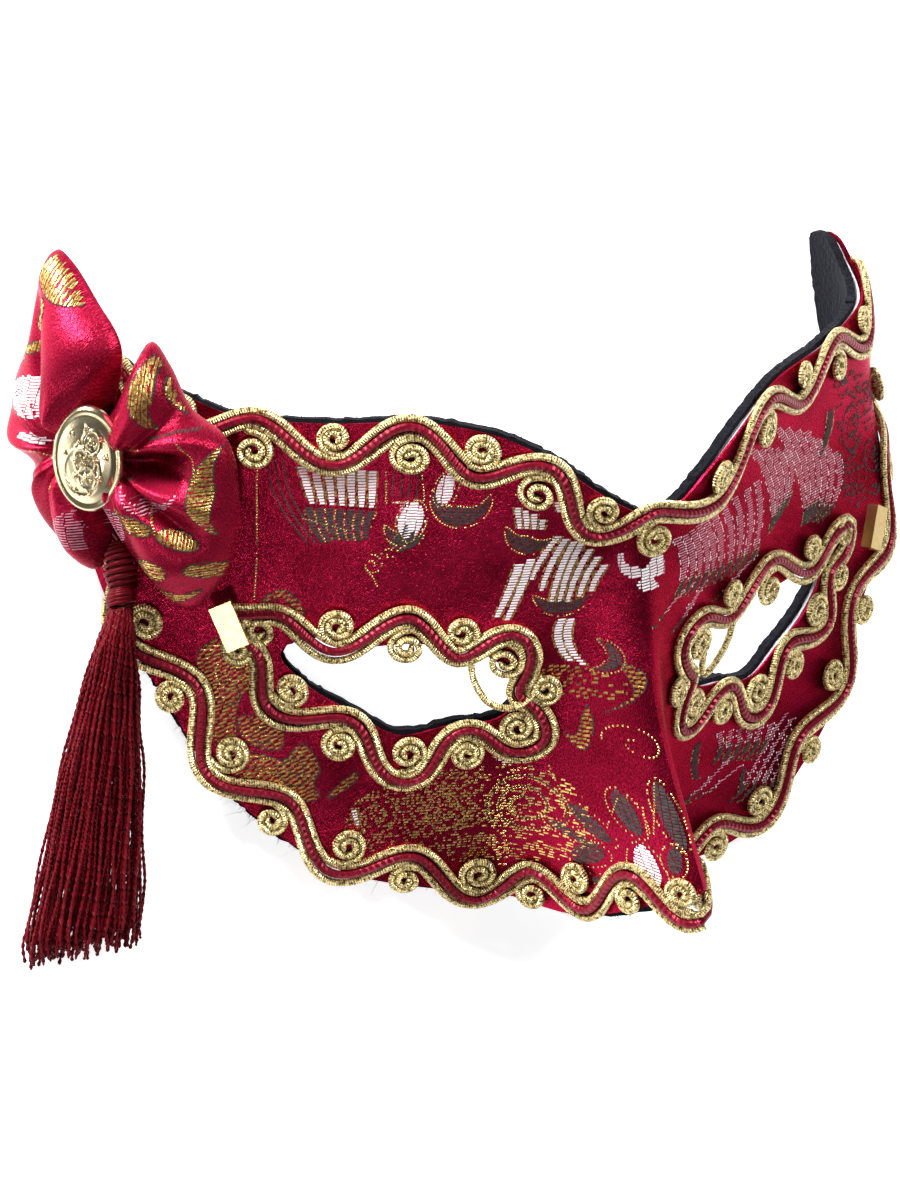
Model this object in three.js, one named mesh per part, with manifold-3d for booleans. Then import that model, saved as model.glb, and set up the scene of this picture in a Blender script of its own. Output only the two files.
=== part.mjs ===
// A Venetian half mask: a moulded shell covered in brocade, lined with felt and edged with
// gold and burgundy gimp, with a brocade bow, a gold button and a tassel at its left temple.
// Millimetres. The mask is worked out as worn, with x to the viewer's right, y up and z forwards,
// and the whole group is then laid down on its rim, face up, with the brow towards +Y.

import * as THREE from 'three';
import { mergeVertices } from 'three/addons/utils/BufferGeometryUtils.js';
import Module from 'manifold-3d';

const wasm = await Module();
wasm.setup();

// Driving sizes of the face, along its girth and up from the eyes
const GIRTH_REACH = 135;
const CHEEK_SLOPE = 26;
const BROW_ROUND = 22;
const TEMPLE_START = 86;
const TEMPLE_RUN = 35.5;
const TEMPLE_TURN = 88;
const FACE_UNIT = 50;
const WIDTH_TAPER = -0.06;
const DEPTH_TAPER = 0.47;
const BROW_LEAN = 9.5;
const NOSE_HEIGHT = 19.4;
const NOSE_WIDTH = 7.2;
const NOSE_ROOT = 23.4;
const NOSE_RUN = 41;
const NOSE_REACH = 1.6;

// Layers of the wall, as heights from the outer face of the brocade
const BROCADE = { outer: 0, inner: -0.45 };
const SHELL = { outer: -0.88, inner: -1.7 };
const FELT = { outer: -2.18, inner: -3.1 };
const FELT_FRINGE = 0.5;

// Cut lines on the face, as girth and height
const TEMPLE = [[97, 46.5], [103, 49.5], [107, 54], [110.5, 54], [112, 48], [113, 39.5],
  [113.2, 31], [110.5, 20]];
const LEFT_BROW = [[4.5, 25.5], [10.5, 29], [19, 34.5], [28, 38.5], [34.5, 40], [45, 41],
  [62, 39.5], [78, 40], [87, 43]];
const RIGHT_BROW = [[4, 22], [10.5, 25], [15, 28], [20, 30.5], [31, 35.5], [45.5, 40], [56, 41],
  [70, 41.5], [86, 43.5]];
const LEFT_CHEEK = [[103, 7.5], [96, -3.5], [89, -13], [80.5, -26], [69, -38.5],
  [52, -50], [34, -55.5], [17, -58.5], [9.5, -59]];
const RIGHT_CHEEK = [[102, 6], [93, -4.5], [84, -14.5], [76, -27], [66.5, -40],
  [53, -52.5], [37, -59.5], [18, -60], [9.5, -59]];
const NOSE_TIP = [0, -43];
const EYE_HOLE = [[20, -14.5], [25, -6.5], [38, -3.5], [51, -4], [62, -2.5], [66.5, -5.5],
  [60, -12.5], [51, -17.5], [42, -22.5], [32, -20.5], [23, -19]];
const EYE_BRAID = [[77, 1.5], [62, -0.5], [46, -1.5], [31, -2], [20, -6], [15.5, -15.5],
  [19, -23.5], [30, -25], [41, -28], [53, -22.5], [62, -17], [70, -8.5]];
const OUTLINE_STEPS = 76;
const HOLE_STEPS = 22;

// Gimp: a wavy gold band, a satin cord along it and a scroll in each hollow
const BRAID_LIFT = 0.85;
const BAND_WIDTH = 5.6;
const BAND_HEIGHT = 1.1;
const CORD_WIDTH = 2;
const CORD_GAP = 0.55;
const CORD_HEIGHT = 1.1;
const WAVE_HEIGHT = 3.9;
const WAVE_STEPS = 6;
const SCROLL_OFFSET = 2.3;
const SCROLL_RADIUS = 3.9;
const SCROLL_PROFILE = [[0, 0.2], [1, 0.2], [0.8, 0.95], [0, 0.95]];
const SCROLL_SIDES = 6;
const EDGE_INSET = { brow: 4, cheek: 2.6, temple: 7 };
const EDGE_STEPS = 152;
const EDGE_EASE = 5;
const EYE_TIP = { left: 0.917, right: 0 };
const TIP_CALM = 11;

// Where each braid's outer crests lie, as parts of its length: the edge's from the nose tip
const CRESTS = {
  edge: [0.124, 0.175, 0.226, 0.276, 0.327, 0.378, 0.436, 0.497, 0.537, 0.577, 0.624,
    0.673, 0.722, 0.771, 0.82, 0.868, 0.914, 0.953, 0.996, 1.039, 1.081],
  left: [0.045, 0.24, 0.408, 0.544, 0.68, 0.87],
  right: [-0.01, 0.22, 0.41, 0.54, 0.7, 0.865],
};

// Bow, button, tassel and clips
const BOW_CENTRE = [-92.1, 34.5, -39.8];
const BOW_YAW = { right: 39, left: 71 };
const BOW_BACK = 0.36;
const BOW_STATIONS = [
  { at: -23, mid: 2, half: 3.5, thick: 2 }, { at: -20.5, mid: 5, half: 9, thick: 5 },
  { at: -17, mid: 6, half: 13.5, thick: 8 }, { at: -12.5, mid: 9, half: 26.5, thick: 9 },
  { at: -8, mid: 6.5, half: 27.5, thick: 9.5 }, { at: -3, mid: 4, half: 27, thick: 8.5 },
  { at: 0.5, mid: 1.5, half: 25, thick: 6.5 }, { at: 4.5, mid: -3.5, half: 13.5, thick: 5.5 },
  { at: 9.5, mid: 0, half: 21, thick: 9.5 }, { at: 13.5, mid: -5, half: 21.5, thick: 11 },
  { at: 18, mid: -10.5, half: 20, thick: 10.5 }, { at: 24, mid: -9.5, half: 14.5, thick: 7.5 },
  { at: 26.6, mid: -10, half: 6, thick: 3 }];
const BOW_SIDES = 12;
const BUTTON_HALF = [6.8, 10.3];
const BUTTON_PROFILE = [[0, 0], [0.9, 0], [1, 0.7], [0.98, 1.5], [0.9, 2], [0.82, 1.6], [0.5, 2.9], [0, 3.5]];
const BUTTON_SIDES = 18;
const BUTTON_SEAT = 6.5;
const BUTTON_ROOM = 0.45;
const PIT_HEIGHT = 20;
const KNOT_ROOM = 0.45;
const TASSEL_KNOT = [
  { at: [-89.6, 16.7, -36.1], half: 2, thick: 1.8 }, { at: [-89.6, 14.7, -35.6], half: 3.3, thick: 3 },
  { at: [-89.9, 11.1, -34.7], half: 3.4, thick: 3 }, { at: [-90.1, 8.1, -34.1], half: 2.3, thick: 2.1 },
  { at: [-90.1, 6.9, -34], half: 2.9, thick: 2.6 }, { at: [-90.1, 5, -33.7], half: 3, thick: 2.6 }];
const TASSEL_SKIRT = [
  { at: [-90.5, 4.3, -33.4], half: 2.6, thick: 2.4 }, { at: [-91.5, 0.6, -32.5], half: 3.6, thick: 3.2 },
  { at: [-92.5, -3.4, -31.9], half: 4.7, thick: 3.8 }, { at: [-94.1, -12.6, -30.6], half: 6.9, thick: 4.5 },
  { at: [-96.9, -25.1, -27.5], half: 9.2, thick: 5 }, { at: [-101.1, -40.6, -21.9], half: 11.4, thick: 5 },
  { at: [-104.7, -52.4, -17.3], half: 12.8, thick: 4.6 }, { at: [-106, -57.9, -15.4], half: 12.4, thick: 3.8 }];
const TASSEL_SIDES = 12;
const CLIP = { length: 9, width: 4.4, height: 2.4, sheet: 0.7, lift: 4.1 };
const CLIP_PLACES = { left: [-76.5, 1, 24], right: [80, 1, -24] };

// How the mask lies
const LYING_PITCH = 26.2;

const smoothStep = (t) => {
  const c = Math.min(1, Math.max(0, t));
  return c * c * (3 - 2 * c);
};

// The level section of the face, as a curve followed along its girth
function followGirth() {
  const places = [[0, 0]];
  for (let s = 1; s <= GIRTH_REACH; s += 1) {
    const middle = s - 0.5;
    const turn = CHEEK_SLOPE * smoothStep(middle / BROW_ROUND)
      + TEMPLE_TURN * smoothStep((middle - TEMPLE_START) / TEMPLE_RUN);
    const angle = THREE.MathUtils.degToRad(turn);
    const [x, z] = places[s - 1];
    places.push([x + Math.cos(angle), z - Math.sin(angle)]);
  }
  return places;
}

const girth = followGirth();

function girthPlace(s) {
  const reach = Math.min(Math.abs(s), GIRTH_REACH - 0.001);
  const index = Math.floor(reach);
  const part = reach - index;
  const [x0, z0] = girth[index];
  const [x1, z1] = girth[index + 1];
  return [Math.sign(s) * (x0 + (x1 - x0) * part), z0 + (z1 - z0) * part];
}

// A place on the outer face of the brocade
function facePoint(s, y) {
  const [x0, z0] = girthPlace(s);
  const rise = y / FACE_UNIT;
  const x = x0 * (1 + WIDTH_TAPER * rise);
  const down = Math.min(NOSE_REACH, Math.max(0, (NOSE_ROOT - y) / NOSE_RUN));
  const ridge = NOSE_HEIGHT * down ** 1.6;
  const side = Math.abs(x / (NOSE_WIDTH * (0.8 + 0.3 * down)));
  const z = z0 * (1 + DEPTH_TAPER * rise) + BROW_LEAN * rise
    + ridge * Math.exp(-(side ** 1.8));
  return new THREE.Vector3(x, y, z);
}

function faceFrame(s, y) {
  const reach = 0.4;
  const along = facePoint(s + reach, y).sub(facePoint(s - reach, y)).divideScalar(2 * reach);
  const up = facePoint(s, y + reach).sub(facePoint(s, y - reach)).divideScalar(2 * reach);
  const normal = along.clone().cross(up).normalize();
  return { along, up, normal };
}

const onFace = (s, y, height) => facePoint(s, y).addScaledVector(faceFrame(s, y).normal, height);

// The girth and height reached from a place by going a real distance along a direction in the face
function stepOnFace(s, y, direction) {
  const { along, up } = faceFrame(s, y);
  const aa = along.dot(along);
  const au = along.dot(up);
  const uu = up.dot(up);
  const da = along.dot(direction);
  const du = up.dot(direction);
  const det = aa * uu - au * au;
  return [s + (uu * da - au * du) / det, y + (aa * du - au * da) / det];
}

const closedCurve = (points) => new THREE.CatmullRomCurve3(
  points.map(([s, y]) => new THREE.Vector3(s, y, 0)), true, 'centripetal');

function sampleLoop(points, count) {
  return closedCurve(points).getSpacedPoints(count).slice(0, count).map((p) => [p.x, p.y]);
}

const mirrored = (points) => points.map(([s, y]) => [-s, y]);

// The cut line, from the nose tip up the right cheek, over the brow and down the left cheek
const cutLine = [
  NOSE_TIP, ...[...RIGHT_CHEEK].reverse(), ...[...TEMPLE].reverse(), ...[...RIGHT_BROW].reverse(),
  ...mirrored(LEFT_BROW), ...mirrored(TEMPLE), ...mirrored(LEFT_CHEEK)];
const outline = sampleLoop(cutLine, OUTLINE_STEPS);

// A loop moved sideways by a distance, outwards from its left hand when it runs anticlockwise
function offsetLoop(loop, distanceAt) {
  return loop.map(([s, y], i) => {
    const distance = distanceAt(s, y);
    const [s0, y0] = loop[(i + loop.length - 1) % loop.length];
    const [s1, y1] = loop[(i + 1) % loop.length];
    const length = Math.hypot(s1 - s0, y1 - y0);
    return [s + distance * (y1 - y0) / length, y - distance * (s1 - s0) / length];
  });
}

// Rounds a loop's corners by drawing each point towards its neighbours
function relaxLoop(loop, rounds) {
  let places = loop;
  for (let round = 0; round < rounds; round += 1) {
    places = places.map(([s, y], i) => {
      const [s0, y0] = places[(i + places.length - 1) % places.length];
      const [s1, y1] = places[(i + 1) % places.length];
      return [(s0 + 2 * s + s1) / 4, (y0 + 2 * y + y1) / 4];
    });
  }
  return places;
}

function shapeOf(loop, holes = []) {
  const shape = new THREE.Shape(loop.map(([s, y]) => new THREE.Vector2(s, y)));
  shape.holes = holes.map((hole) => new THREE.Path(hole.map(([s, y]) => new THREE.Vector2(s, y))));
  return shape;
}

function solidOf(geometry) {
  const bare = geometry.clone();
  bare.deleteAttribute('normal');
  bare.deleteAttribute('uv');
  const merged = mergeVertices(bare, 1e-4);
  const corners = merged.index.array;
  const faces = [];
  for (let i = 0; i < corners.length; i += 3) {
    const [a, b, c] = corners.slice(i, i + 3);
    if (a !== b && b !== c && c !== a) faces.push(a, b, c);
  }
  return new wasm.Manifold(new wasm.Mesh({
    numProp: 3,
    vertProperties: new Float32Array(merged.attributes.position.array),
    triVerts: new Uint32Array(faces),
  }));
}

function geometryOf(solid) {
  const mesh = solid.getMesh();
  const geometry = new THREE.BufferGeometry();
  geometry.setAttribute('position', new THREE.BufferAttribute(new Float32Array(mesh.vertProperties), 3));
  geometry.setIndex([...mesh.triVerts]);
  return geometry;
}

function plate(shape, low, high) {
  const geometry = new THREE.ExtrudeGeometry(shape, { depth: high - low, bevelEnabled: false, steps: 1 });
  geometry.translate(0, 0, low);
  return geometry;
}

// A closed slab of cells over the whole girth, crowned so that no two cells lie in one plane
const CROWN = 0.001;
const NOSE_COLUMNS = [3.5, 7.5, 11, 15, 20, 28];
const crown = (s, y) => CROWN * (s * s + y * y);

function cellLines() {
  const half = [...NOSE_COLUMNS];
  for (let s = 47; s <= 86; s += 19.5) half.push(s);
  for (let s = 94; s <= 130; s += 8) half.push(s);
  const across = [...[...half].reverse().map((s) => -s), 0, ...half];
  const upward = [];
  for (let y = -70; y <= 71; y += 14) upward.push(y);
  return { across, upward };
}

function cellSlab(low, high) {
  const { across, upward } = cellLines();
  const columns = across.length;
  const positions = [];
  for (const level of [low, high]) {
    for (const y of upward) {
      for (const s of across) positions.push(s, y, level + crown(s, y));
    }
  }
  const layer = columns * upward.length;
  const faces = [];
  const quad = (a, b, c, d) => faces.push(a, b, c, a, c, d);
  for (let row = 0; row + 1 < upward.length; row += 1) {
    for (let column = 0; column + 1 < columns; column += 1) {
      const a = row * columns + column;
      const [b, c, d] = [a + 1, a + columns + 1, a + columns];
      quad(layer + a, layer + b, layer + c, layer + d);
      quad(a, d, c, b);
    }
  }
  const rim = [];
  for (let column = 0; column + 1 < columns; column += 1) rim.push(column);
  for (let row = 0; row + 1 < upward.length; row += 1) rim.push(row * columns + columns - 1);
  for (let column = columns - 1; column > 0; column -= 1) rim.push((upward.length - 1) * columns + column);
  for (let row = upward.length - 1; row > 0; row -= 1) rim.push(row * columns);
  rim.forEach((a, i) => {
    const b = rim[(i + 1) % rim.length];
    quad(a, b, layer + b, layer + a);
  });
  const geometry = new THREE.BufferGeometry();
  geometry.setAttribute('position', new THREE.Float32BufferAttribute(positions, 3));
  geometry.setIndex(faces);
  return geometry;
}

// Moves a flat solid's points onto the face: girth, height and level become a real place
function wrap(geometry, flatten = () => 0) {
  const wrapped = geometry.clone();
  const places = wrapped.attributes.position;
  for (let i = 0; i < places.count; i += 1) {
    const s = places.getX(i);
    const y = places.getY(i);
    const place = onFace(s, y, places.getZ(i) - flatten(s, y));
    places.setXYZ(i, place.x, place.y, place.z);
  }
  return wrapped;
}

const eyeHole = sampleLoop(EYE_HOLE, HOLE_STEPS);

function wallLayer({ outer, inner }, fringe) {
  const holes = [eyeHole, mirrored(eyeHole)];
  const cut = shapeOf(offsetLoop(outline, () => fringe));
  let solid = solidOf(cellSlab(inner, outer)).intersect(solidOf(plate(cut, -100, 100)));
  for (const hole of holes) {
    const tool = shapeOf(offsetLoop(hole, () => (hole === eyeHole ? fringe : -fringe)));
    solid = solid.subtract(solidOf(plate(tool, -100, 100)));
  }
  return wrap(geometryOf(solid), crown);
}

// The route of a braid on the face, with real lengths along it
function braidRoute(loop) {
  const fine = sampleLoop(loop, 720);
  const lengths = [0];
  fine.forEach(([s, y], i) => {
    const [s1, y1] = fine[(i + 1) % fine.length];
    lengths.push(lengths[i] + facePoint(s, y).distanceTo(facePoint(s1, y1)));
  });
  const total = lengths[fine.length];
  const at = (part, across) => {
    const goal = (((part % 1) + 1) % 1) * total;
    let i = 0;
    while (i < fine.length - 1 && lengths[i + 1] < goal) i += 1;
    const share = (goal - lengths[i]) / (lengths[i + 1] - lengths[i]);
    const [s0, y0] = fine[i];
    const [s1, y1] = fine[(i + 1) % fine.length];
    const [s, y] = [s0 + (s1 - s0) * share, y0 + (y1 - y0) * share];
    const { along, up, normal } = faceFrame(s, y);
    const forward = along.clone().multiplyScalar(s1 - s0).addScaledVector(up, y1 - y0).normalize();
    const outward = forward.clone().cross(normal);
    return { s, y, forward, outward, place: stepOnFace(s, y, outward.clone().multiplyScalar(across)) };
  };
  return { total, at };
}

// The part of a braid's length reached after a count of waves
function partAt({ crests }, wave) {
  const crest = (i) => crests[i % crests.length] + Math.floor(i / crests.length);
  const whole = Math.floor(wave);
  return crest(whole) + (crest(whole + 1) - crest(whole)) * (wave - whole);
}

// The wave's swing sideways, which dies away where the two ends of an eye's braid meet
function swingAt(braid, wave) {
  const swing = WAVE_HEIGHT * Math.cos(2 * Math.PI * wave);
  if (braid.tip === undefined) return swing;
  const away = Math.abs(((partAt(braid, wave) - braid.tip + 1.5) % 1) - 0.5) * braid.route.total;
  return swing * (1 - Math.exp(-((away / TIP_CALM) ** 2)));
}

function waveLoop(braid, shift) {
  const steps = braid.crests.length * WAVE_STEPS;
  const loop = [];
  for (let i = 0; i < steps; i += 1) {
    const wave = i / WAVE_STEPS;
    loop.push(braid.route.at(partAt(braid, wave), swingAt(braid, wave) + shift).place);
  }
  return loop;
}

// A closed ring of rectangular or triangular section, swept along the wave
function waveStrip(braid, section) {
  const loops = section.map(([across]) => waveLoop(braid, across));
  const sides = section.length;
  const steps = loops[0].length;
  const positions = [];
  const faces = [];
  for (let i = 0; i < steps; i += 1) {
    section.forEach(([, level], side) => {
      const [s, y] = loops[side][i];
      positions.push(s, y, level + crown(s, y));
      const next = (side + 1) % sides;
      const [a, b] = [i * sides + side, i * sides + next];
      const [c, d] = [((i + 1) % steps) * sides + next, ((i + 1) % steps) * sides + side];
      faces.push(a, d, c, a, c, b);
    });
  }
  const geometry = new THREE.BufferGeometry();
  geometry.setAttribute('position', new THREE.Float32BufferAttribute(positions, 3));
  geometry.setIndex(faces);
  return geometry;
}

function scroll(route, part, side) {
  const centre = route.at(part, side * SCROLL_OFFSET);
  const [s, y] = centre.place;
  const points = SCROLL_PROFILE.map(([radius, height]) => new THREE.Vector2(radius * SCROLL_RADIUS, height));
  const geometry = new THREE.LatheGeometry(points, SCROLL_SIDES);
  geometry.rotateX(Math.PI / 2);
  const places = geometry.attributes.position;
  for (let i = 0; i < places.count; i += 1) {
    const direction = centre.forward.clone().multiplyScalar(places.getX(i))
      .addScaledVector(centre.outward, -places.getY(i));
    const [s1, y1] = stepOnFace(s, y, direction);
    places.setXYZ(i, s1, y1, BRAID_LIFT + places.getZ(i) + crown(s1, y1));
  }
  return geometry;
}

function goldBraid(braid) {
  const half = BAND_WIDTH / 2;
  const high = BRAID_LIFT + BAND_HEIGHT;
  let solid = solidOf(waveStrip(braid, [[half, BRAID_LIFT], [half, high], [-half, high], [-half, BRAID_LIFT]]));
  for (let i = 0; i < 2 * braid.crests.length; i += 1) {
    solid = solid.add(solidOf(scroll(braid.route, partAt(braid, i / 2), i % 2 ? 1 : -1)));
  }
  return wrap(geometryOf(solid), crown);
}

function satinCord(braid) {
  const half = CORD_WIDTH / 2;
  const low = BRAID_LIFT + BAND_HEIGHT + CORD_GAP;
  return wrap(waveStrip(braid, [[half, low], [0, low + CORD_HEIGHT], [-half, low]]), crown);
}

// The bow's own directions: along it towards the nose, straight up, and out of its face
const bowAxes = (degrees) => {
  const angle = THREE.MathUtils.degToRad(degrees);
  return {
    along: new THREE.Vector3(Math.cos(angle), 0, Math.sin(angle)),
    out: new THREE.Vector3(-Math.sin(angle), 0, Math.cos(angle)),
  };
};
const bowRight = bowAxes(BOW_YAW.right);
const bowLeft = bowAxes(BOW_YAW.left);
const bowUp = new THREE.Vector3(0, 1, 0);
const bowCentre = new THREE.Vector3(...BOW_CENTRE);

function bowPlace(along, up, out) {
  const axes = along < 0 ? bowLeft : bowRight;
  return bowCentre.clone().addScaledVector(axes.along, along).addScaledVector(bowUp, up)
    .addScaledVector(axes.out, out);
}

function loft(rings, start, end) {
  const sides = rings[0].length;
  const positions = [...start.toArray(), ...end.toArray(), ...rings.flat().flatMap((p) => p.toArray())];
  const at = (ring, side) => 2 + ring * sides + (side % sides);
  const faces = [];
  for (let side = 0; side < sides; side += 1) {
    faces.push(0, at(0, side + 1), at(0, side));
    faces.push(1, at(rings.length - 1, side), at(rings.length - 1, side + 1));
    for (let ring = 0; ring + 1 < rings.length; ring += 1) {
      const [a, b] = [at(ring, side), at(ring, side + 1)];
      const [c, d] = [at(ring + 1, side + 1), at(ring + 1, side)];
      faces.push(a, b, c, a, c, d);
    }
  }
  const geometry = new THREE.BufferGeometry();
  geometry.setAttribute('position', new THREE.Float32BufferAttribute(positions, 3));
  geometry.setIndex(faces);
  return geometry;
}

function bowSolid() {
  const rings = BOW_STATIONS.map(({ at, mid, half, thick }) => {
    const ring = [];
    for (let i = 0; i < BOW_SIDES; i += 1) {
      const turn = (2 * Math.PI * i) / BOW_SIDES;
      const out = Math.sin(turn) * thick;
      ring.push(bowPlace(at, mid + Math.cos(turn) * half, out < 0 ? out * BOW_BACK : out));
    }
    return ring;
  });
  const [first, last] = [BOW_STATIONS[0], BOW_STATIONS.at(-1)];
  return loft(rings, bowPlace(first.at - 0.3, first.mid, 0), bowPlace(last.at + 0.3, last.mid, 0));
}

function ovalSolid(profile, room) {
  const points = profile.map(([radius, height]) => new THREE.Vector2(radius, height));
  const geometry = new THREE.LatheGeometry(points, BUTTON_SIDES);
  const places = geometry.attributes.position;
  for (let i = 0; i < places.count; i += 1) {
    const place = bowPlace(0, 0, BUTTON_SEAT + places.getY(i))
      .addScaledVector(bowRight.along, places.getX(i) * (BUTTON_HALF[0] + room))
      .addScaledVector(bowUp, -places.getZ(i) * (BUTTON_HALF[1] + room));
    places.setXYZ(i, place.x, place.y, place.z);
  }
  return geometry;
}

// A bundle of threads: its width lies level and its thickness stands up from the table
function bundle(stations, room = 0) {
  const pitch = THREE.MathUtils.degToRad(LYING_PITCH);
  const level = new THREE.Vector3(1, 0, 0);
  const upright = new THREE.Vector3(0, Math.sin(pitch), Math.cos(pitch));
  const rings = stations.map(({ at, half, thick }) => {
    const ring = [];
    for (let i = 0; i < TASSEL_SIDES; i += 1) {
      const turn = (2 * Math.PI * i) / TASSEL_SIDES;
      ring.push(new THREE.Vector3(...at).addScaledVector(level, Math.cos(turn) * (half + room))
        .addScaledVector(upright, Math.sin(turn) * (thick + room)));
    }
    return ring;
  });
  return loft(rings, new THREE.Vector3(...stations[0].at), new THREE.Vector3(...stations.at(-1).at));
}

function clipSolid(place) {
  const [s, y, turn] = place;
  const { length, width, height, sheet, lift } = CLIP;
  const half = width / 2;
  const profile = new THREE.Shape([
    [-half, 0], [-half + sheet, 0], [-half + sheet, height - sheet], [half - sheet, height - sheet],
    [half - sheet, 0], [half, 0], [half, height], [-half, height],
  ].map(([x, z]) => new THREE.Vector2(x, z)));
  const geometry = new THREE.ExtrudeGeometry(profile, { depth: length, bevelEnabled: false, steps: 1 });
  geometry.translate(0, 0, -length / 2);
  const { along, normal } = faceFrame(s, y);
  const level = along.clone().normalize();
  const upright = normal.clone().cross(level);
  const angle = THREE.MathUtils.degToRad(turn);
  const across = level.clone().multiplyScalar(Math.cos(angle)).addScaledVector(upright, Math.sin(angle));
  const basis = new THREE.Matrix4().makeBasis(across, normal, across.clone().cross(normal));
  geometry.applyMatrix4(basis);
  const base = onFace(s, y, lift);
  geometry.translate(base.x, base.y, base.z);
  return geometry;
}

const finishes = {
  brocade: new THREE.MeshStandardMaterial({ color: 0x9c1029, roughness: 0.42, metalness: 0 }),
  plastic: new THREE.MeshStandardMaterial({ color: 0xe9e6ee, roughness: 0.5, metalness: 0 }),
  felt: new THREE.MeshStandardMaterial({ color: 0x15141a, roughness: 0.95, metalness: 0 }),
  gold: new THREE.MeshStandardMaterial({ color: 0xb89447, roughness: 0.38, metalness: 0.9 }),
  satin: new THREE.MeshStandardMaterial({ color: 0x5c1019, roughness: 0.5, metalness: 0 }),
  brass: new THREE.MeshStandardMaterial({ color: 0xd8b45e, roughness: 0.22, metalness: 1 }),
};

const mask = new THREE.Group();

function addPiece(name, geometry, material) {
  const mesh = new THREE.Mesh(geometry, material);
  mesh.name = name;
  mask.add(mesh);
  return mesh;
}

addPiece('brocade_cover', wallLayer(BROCADE, 0), finishes.brocade);
addPiece('moulded_shell', wallLayer(SHELL, 0), finishes.plastic);
addPiece('felt_lining', wallLayer(FELT, FELT_FRINGE), finishes.felt);

function addBraid(name, braid) {
  addPiece(`${name}_gold_gimp`, goldBraid(braid), finishes.gold);
  addPiece(`${name}_satin_cord`, satinCord(braid), finishes.satin);
}

// The braid runs closest to the cut line under the cheeks and furthest from it at the temples
function edgeInset(s, y) {
  const { brow, cheek, temple } = EDGE_INSET;
  const front = cheek + (brow - cheek) * smoothStep((y + 10) / 30);
  return front + (temple - front) * smoothStep((Math.abs(s) - 100) / 10);
}

const edgeLoop = relaxLoop(
  offsetLoop(sampleLoop(cutLine, EDGE_STEPS), (s, y) => -edgeInset(s, y)), EDGE_EASE);
addBraid('edge', { route: braidRoute(edgeLoop), crests: CRESTS.edge });

const eyeLoops = { left: mirrored(EYE_BRAID).reverse(), right: EYE_BRAID };
for (const [side, loop] of Object.entries(eyeLoops)) {
  addBraid(`${side}_eye`, { route: braidRoute(loop), crests: CRESTS[side], tip: EYE_TIP[side] });
  addPiece(`${side}_clip`, clipSolid(CLIP_PLACES[side]), finishes.brass);
}

const pit = ovalSolid([[0, -BUTTON_ROOM], [1, -BUTTON_ROOM], [1, PIT_HEIGHT], [0, PIT_HEIGHT]], BUTTON_ROOM);
const bow = solidOf(bowSolid()).subtract(solidOf(pit)).subtract(solidOf(bundle(TASSEL_KNOT, KNOT_ROOM)));
addPiece('bow', geometryOf(bow), finishes.brocade);
addPiece('button', ovalSolid(BUTTON_PROFILE, 0), finishes.brass);

addPiece('tassel_knot', bundle(TASSEL_KNOT), finishes.satin);
addPiece('tassel_skirt', bundle(TASSEL_SKIRT), finishes.satin);

mask.rotation.x = THREE.MathUtils.degToRad(LYING_PITCH);
mask.updateMatrixWorld(true);

const part = new THREE.Group();
part.add(mask);
const bounds = new THREE.Box3().setFromObject(part, true);
mask.position.set(-(bounds.min.x + bounds.max.x) / 2, -(bounds.min.y + bounds.max.y) / 2, -bounds.min.z);

export default part;
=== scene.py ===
import math

import bmesh
import bpy
import numpy as np
from mathutils import Matrix, Vector
from mathutils.bvhtree import BVHTree


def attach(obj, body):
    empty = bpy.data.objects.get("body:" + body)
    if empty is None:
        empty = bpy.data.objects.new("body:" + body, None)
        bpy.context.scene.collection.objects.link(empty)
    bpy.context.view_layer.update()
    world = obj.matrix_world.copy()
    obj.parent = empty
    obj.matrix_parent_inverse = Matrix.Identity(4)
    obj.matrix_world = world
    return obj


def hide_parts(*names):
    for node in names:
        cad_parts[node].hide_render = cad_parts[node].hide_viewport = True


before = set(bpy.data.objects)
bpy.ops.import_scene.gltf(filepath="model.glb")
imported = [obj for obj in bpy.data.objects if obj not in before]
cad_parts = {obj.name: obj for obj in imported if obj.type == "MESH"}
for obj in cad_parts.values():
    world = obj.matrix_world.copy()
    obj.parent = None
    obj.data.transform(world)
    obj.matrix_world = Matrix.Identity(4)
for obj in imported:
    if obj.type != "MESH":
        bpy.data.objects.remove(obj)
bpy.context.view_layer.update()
random = np.random.default_rng(seed=7)

# The mask as it lies: it was drawn as worn, with x to the viewer's right, y up and z forwards,
# in millimetres, and is pitched back onto its rim with its own zero at this place in the frame.
LYING_PITCH = math.radians(26.2)
LYING_PLACE = (12.487, -12.108, 43.908)
PITCH = np.array([
    [1, 0, 0],
    [0, math.cos(LYING_PITCH), -math.sin(LYING_PITCH)],
    [0, math.sin(LYING_PITCH), math.cos(LYING_PITCH)]])


def lay_down(places):
    """Metres in the frame for millimetres on the mask as worn."""
    return (np.asarray(places, float) @ PITCH.T + LYING_PLACE) / 1000


# The camera looks at the mask's face from its left and a little above, as in the photograph,
# so over the lying mask it looks steeply down. Four soft boxes and a pale room light the mask.
CAMERA_TURN = math.radians(28.9)
CAMERA_RISE = math.radians(19.7)
CAMERA_ROLL = math.radians(2.1)
CAMERA_DISTANCE = 721
CAMERA_AIM = (0, 0, -30)
CAMERA_SHIFT = (-19.3, -5.0)
CAMERA_LENS = 108.8
LIGHT_DISTANCE = 900
# Each light: its direction in the camera's right, up and back, its size in metres and its power
LIGHTS = {
    "key_light": ((-0.55, 0.92, 0.6), 0.26, 19),
    "left_light": ((-0.96, -0.1, 0.25), 0.3, 8),
    "right_light": ((0.78, 0.4, 0.48), 0.25, 5.5),
    "front_light": ((-0.09, -0.5, 0.86), 0.1, 1.7)}


def unit(vectors):
    return vectors / np.linalg.norm(vectors, axis=-1, keepdims=True)


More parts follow.
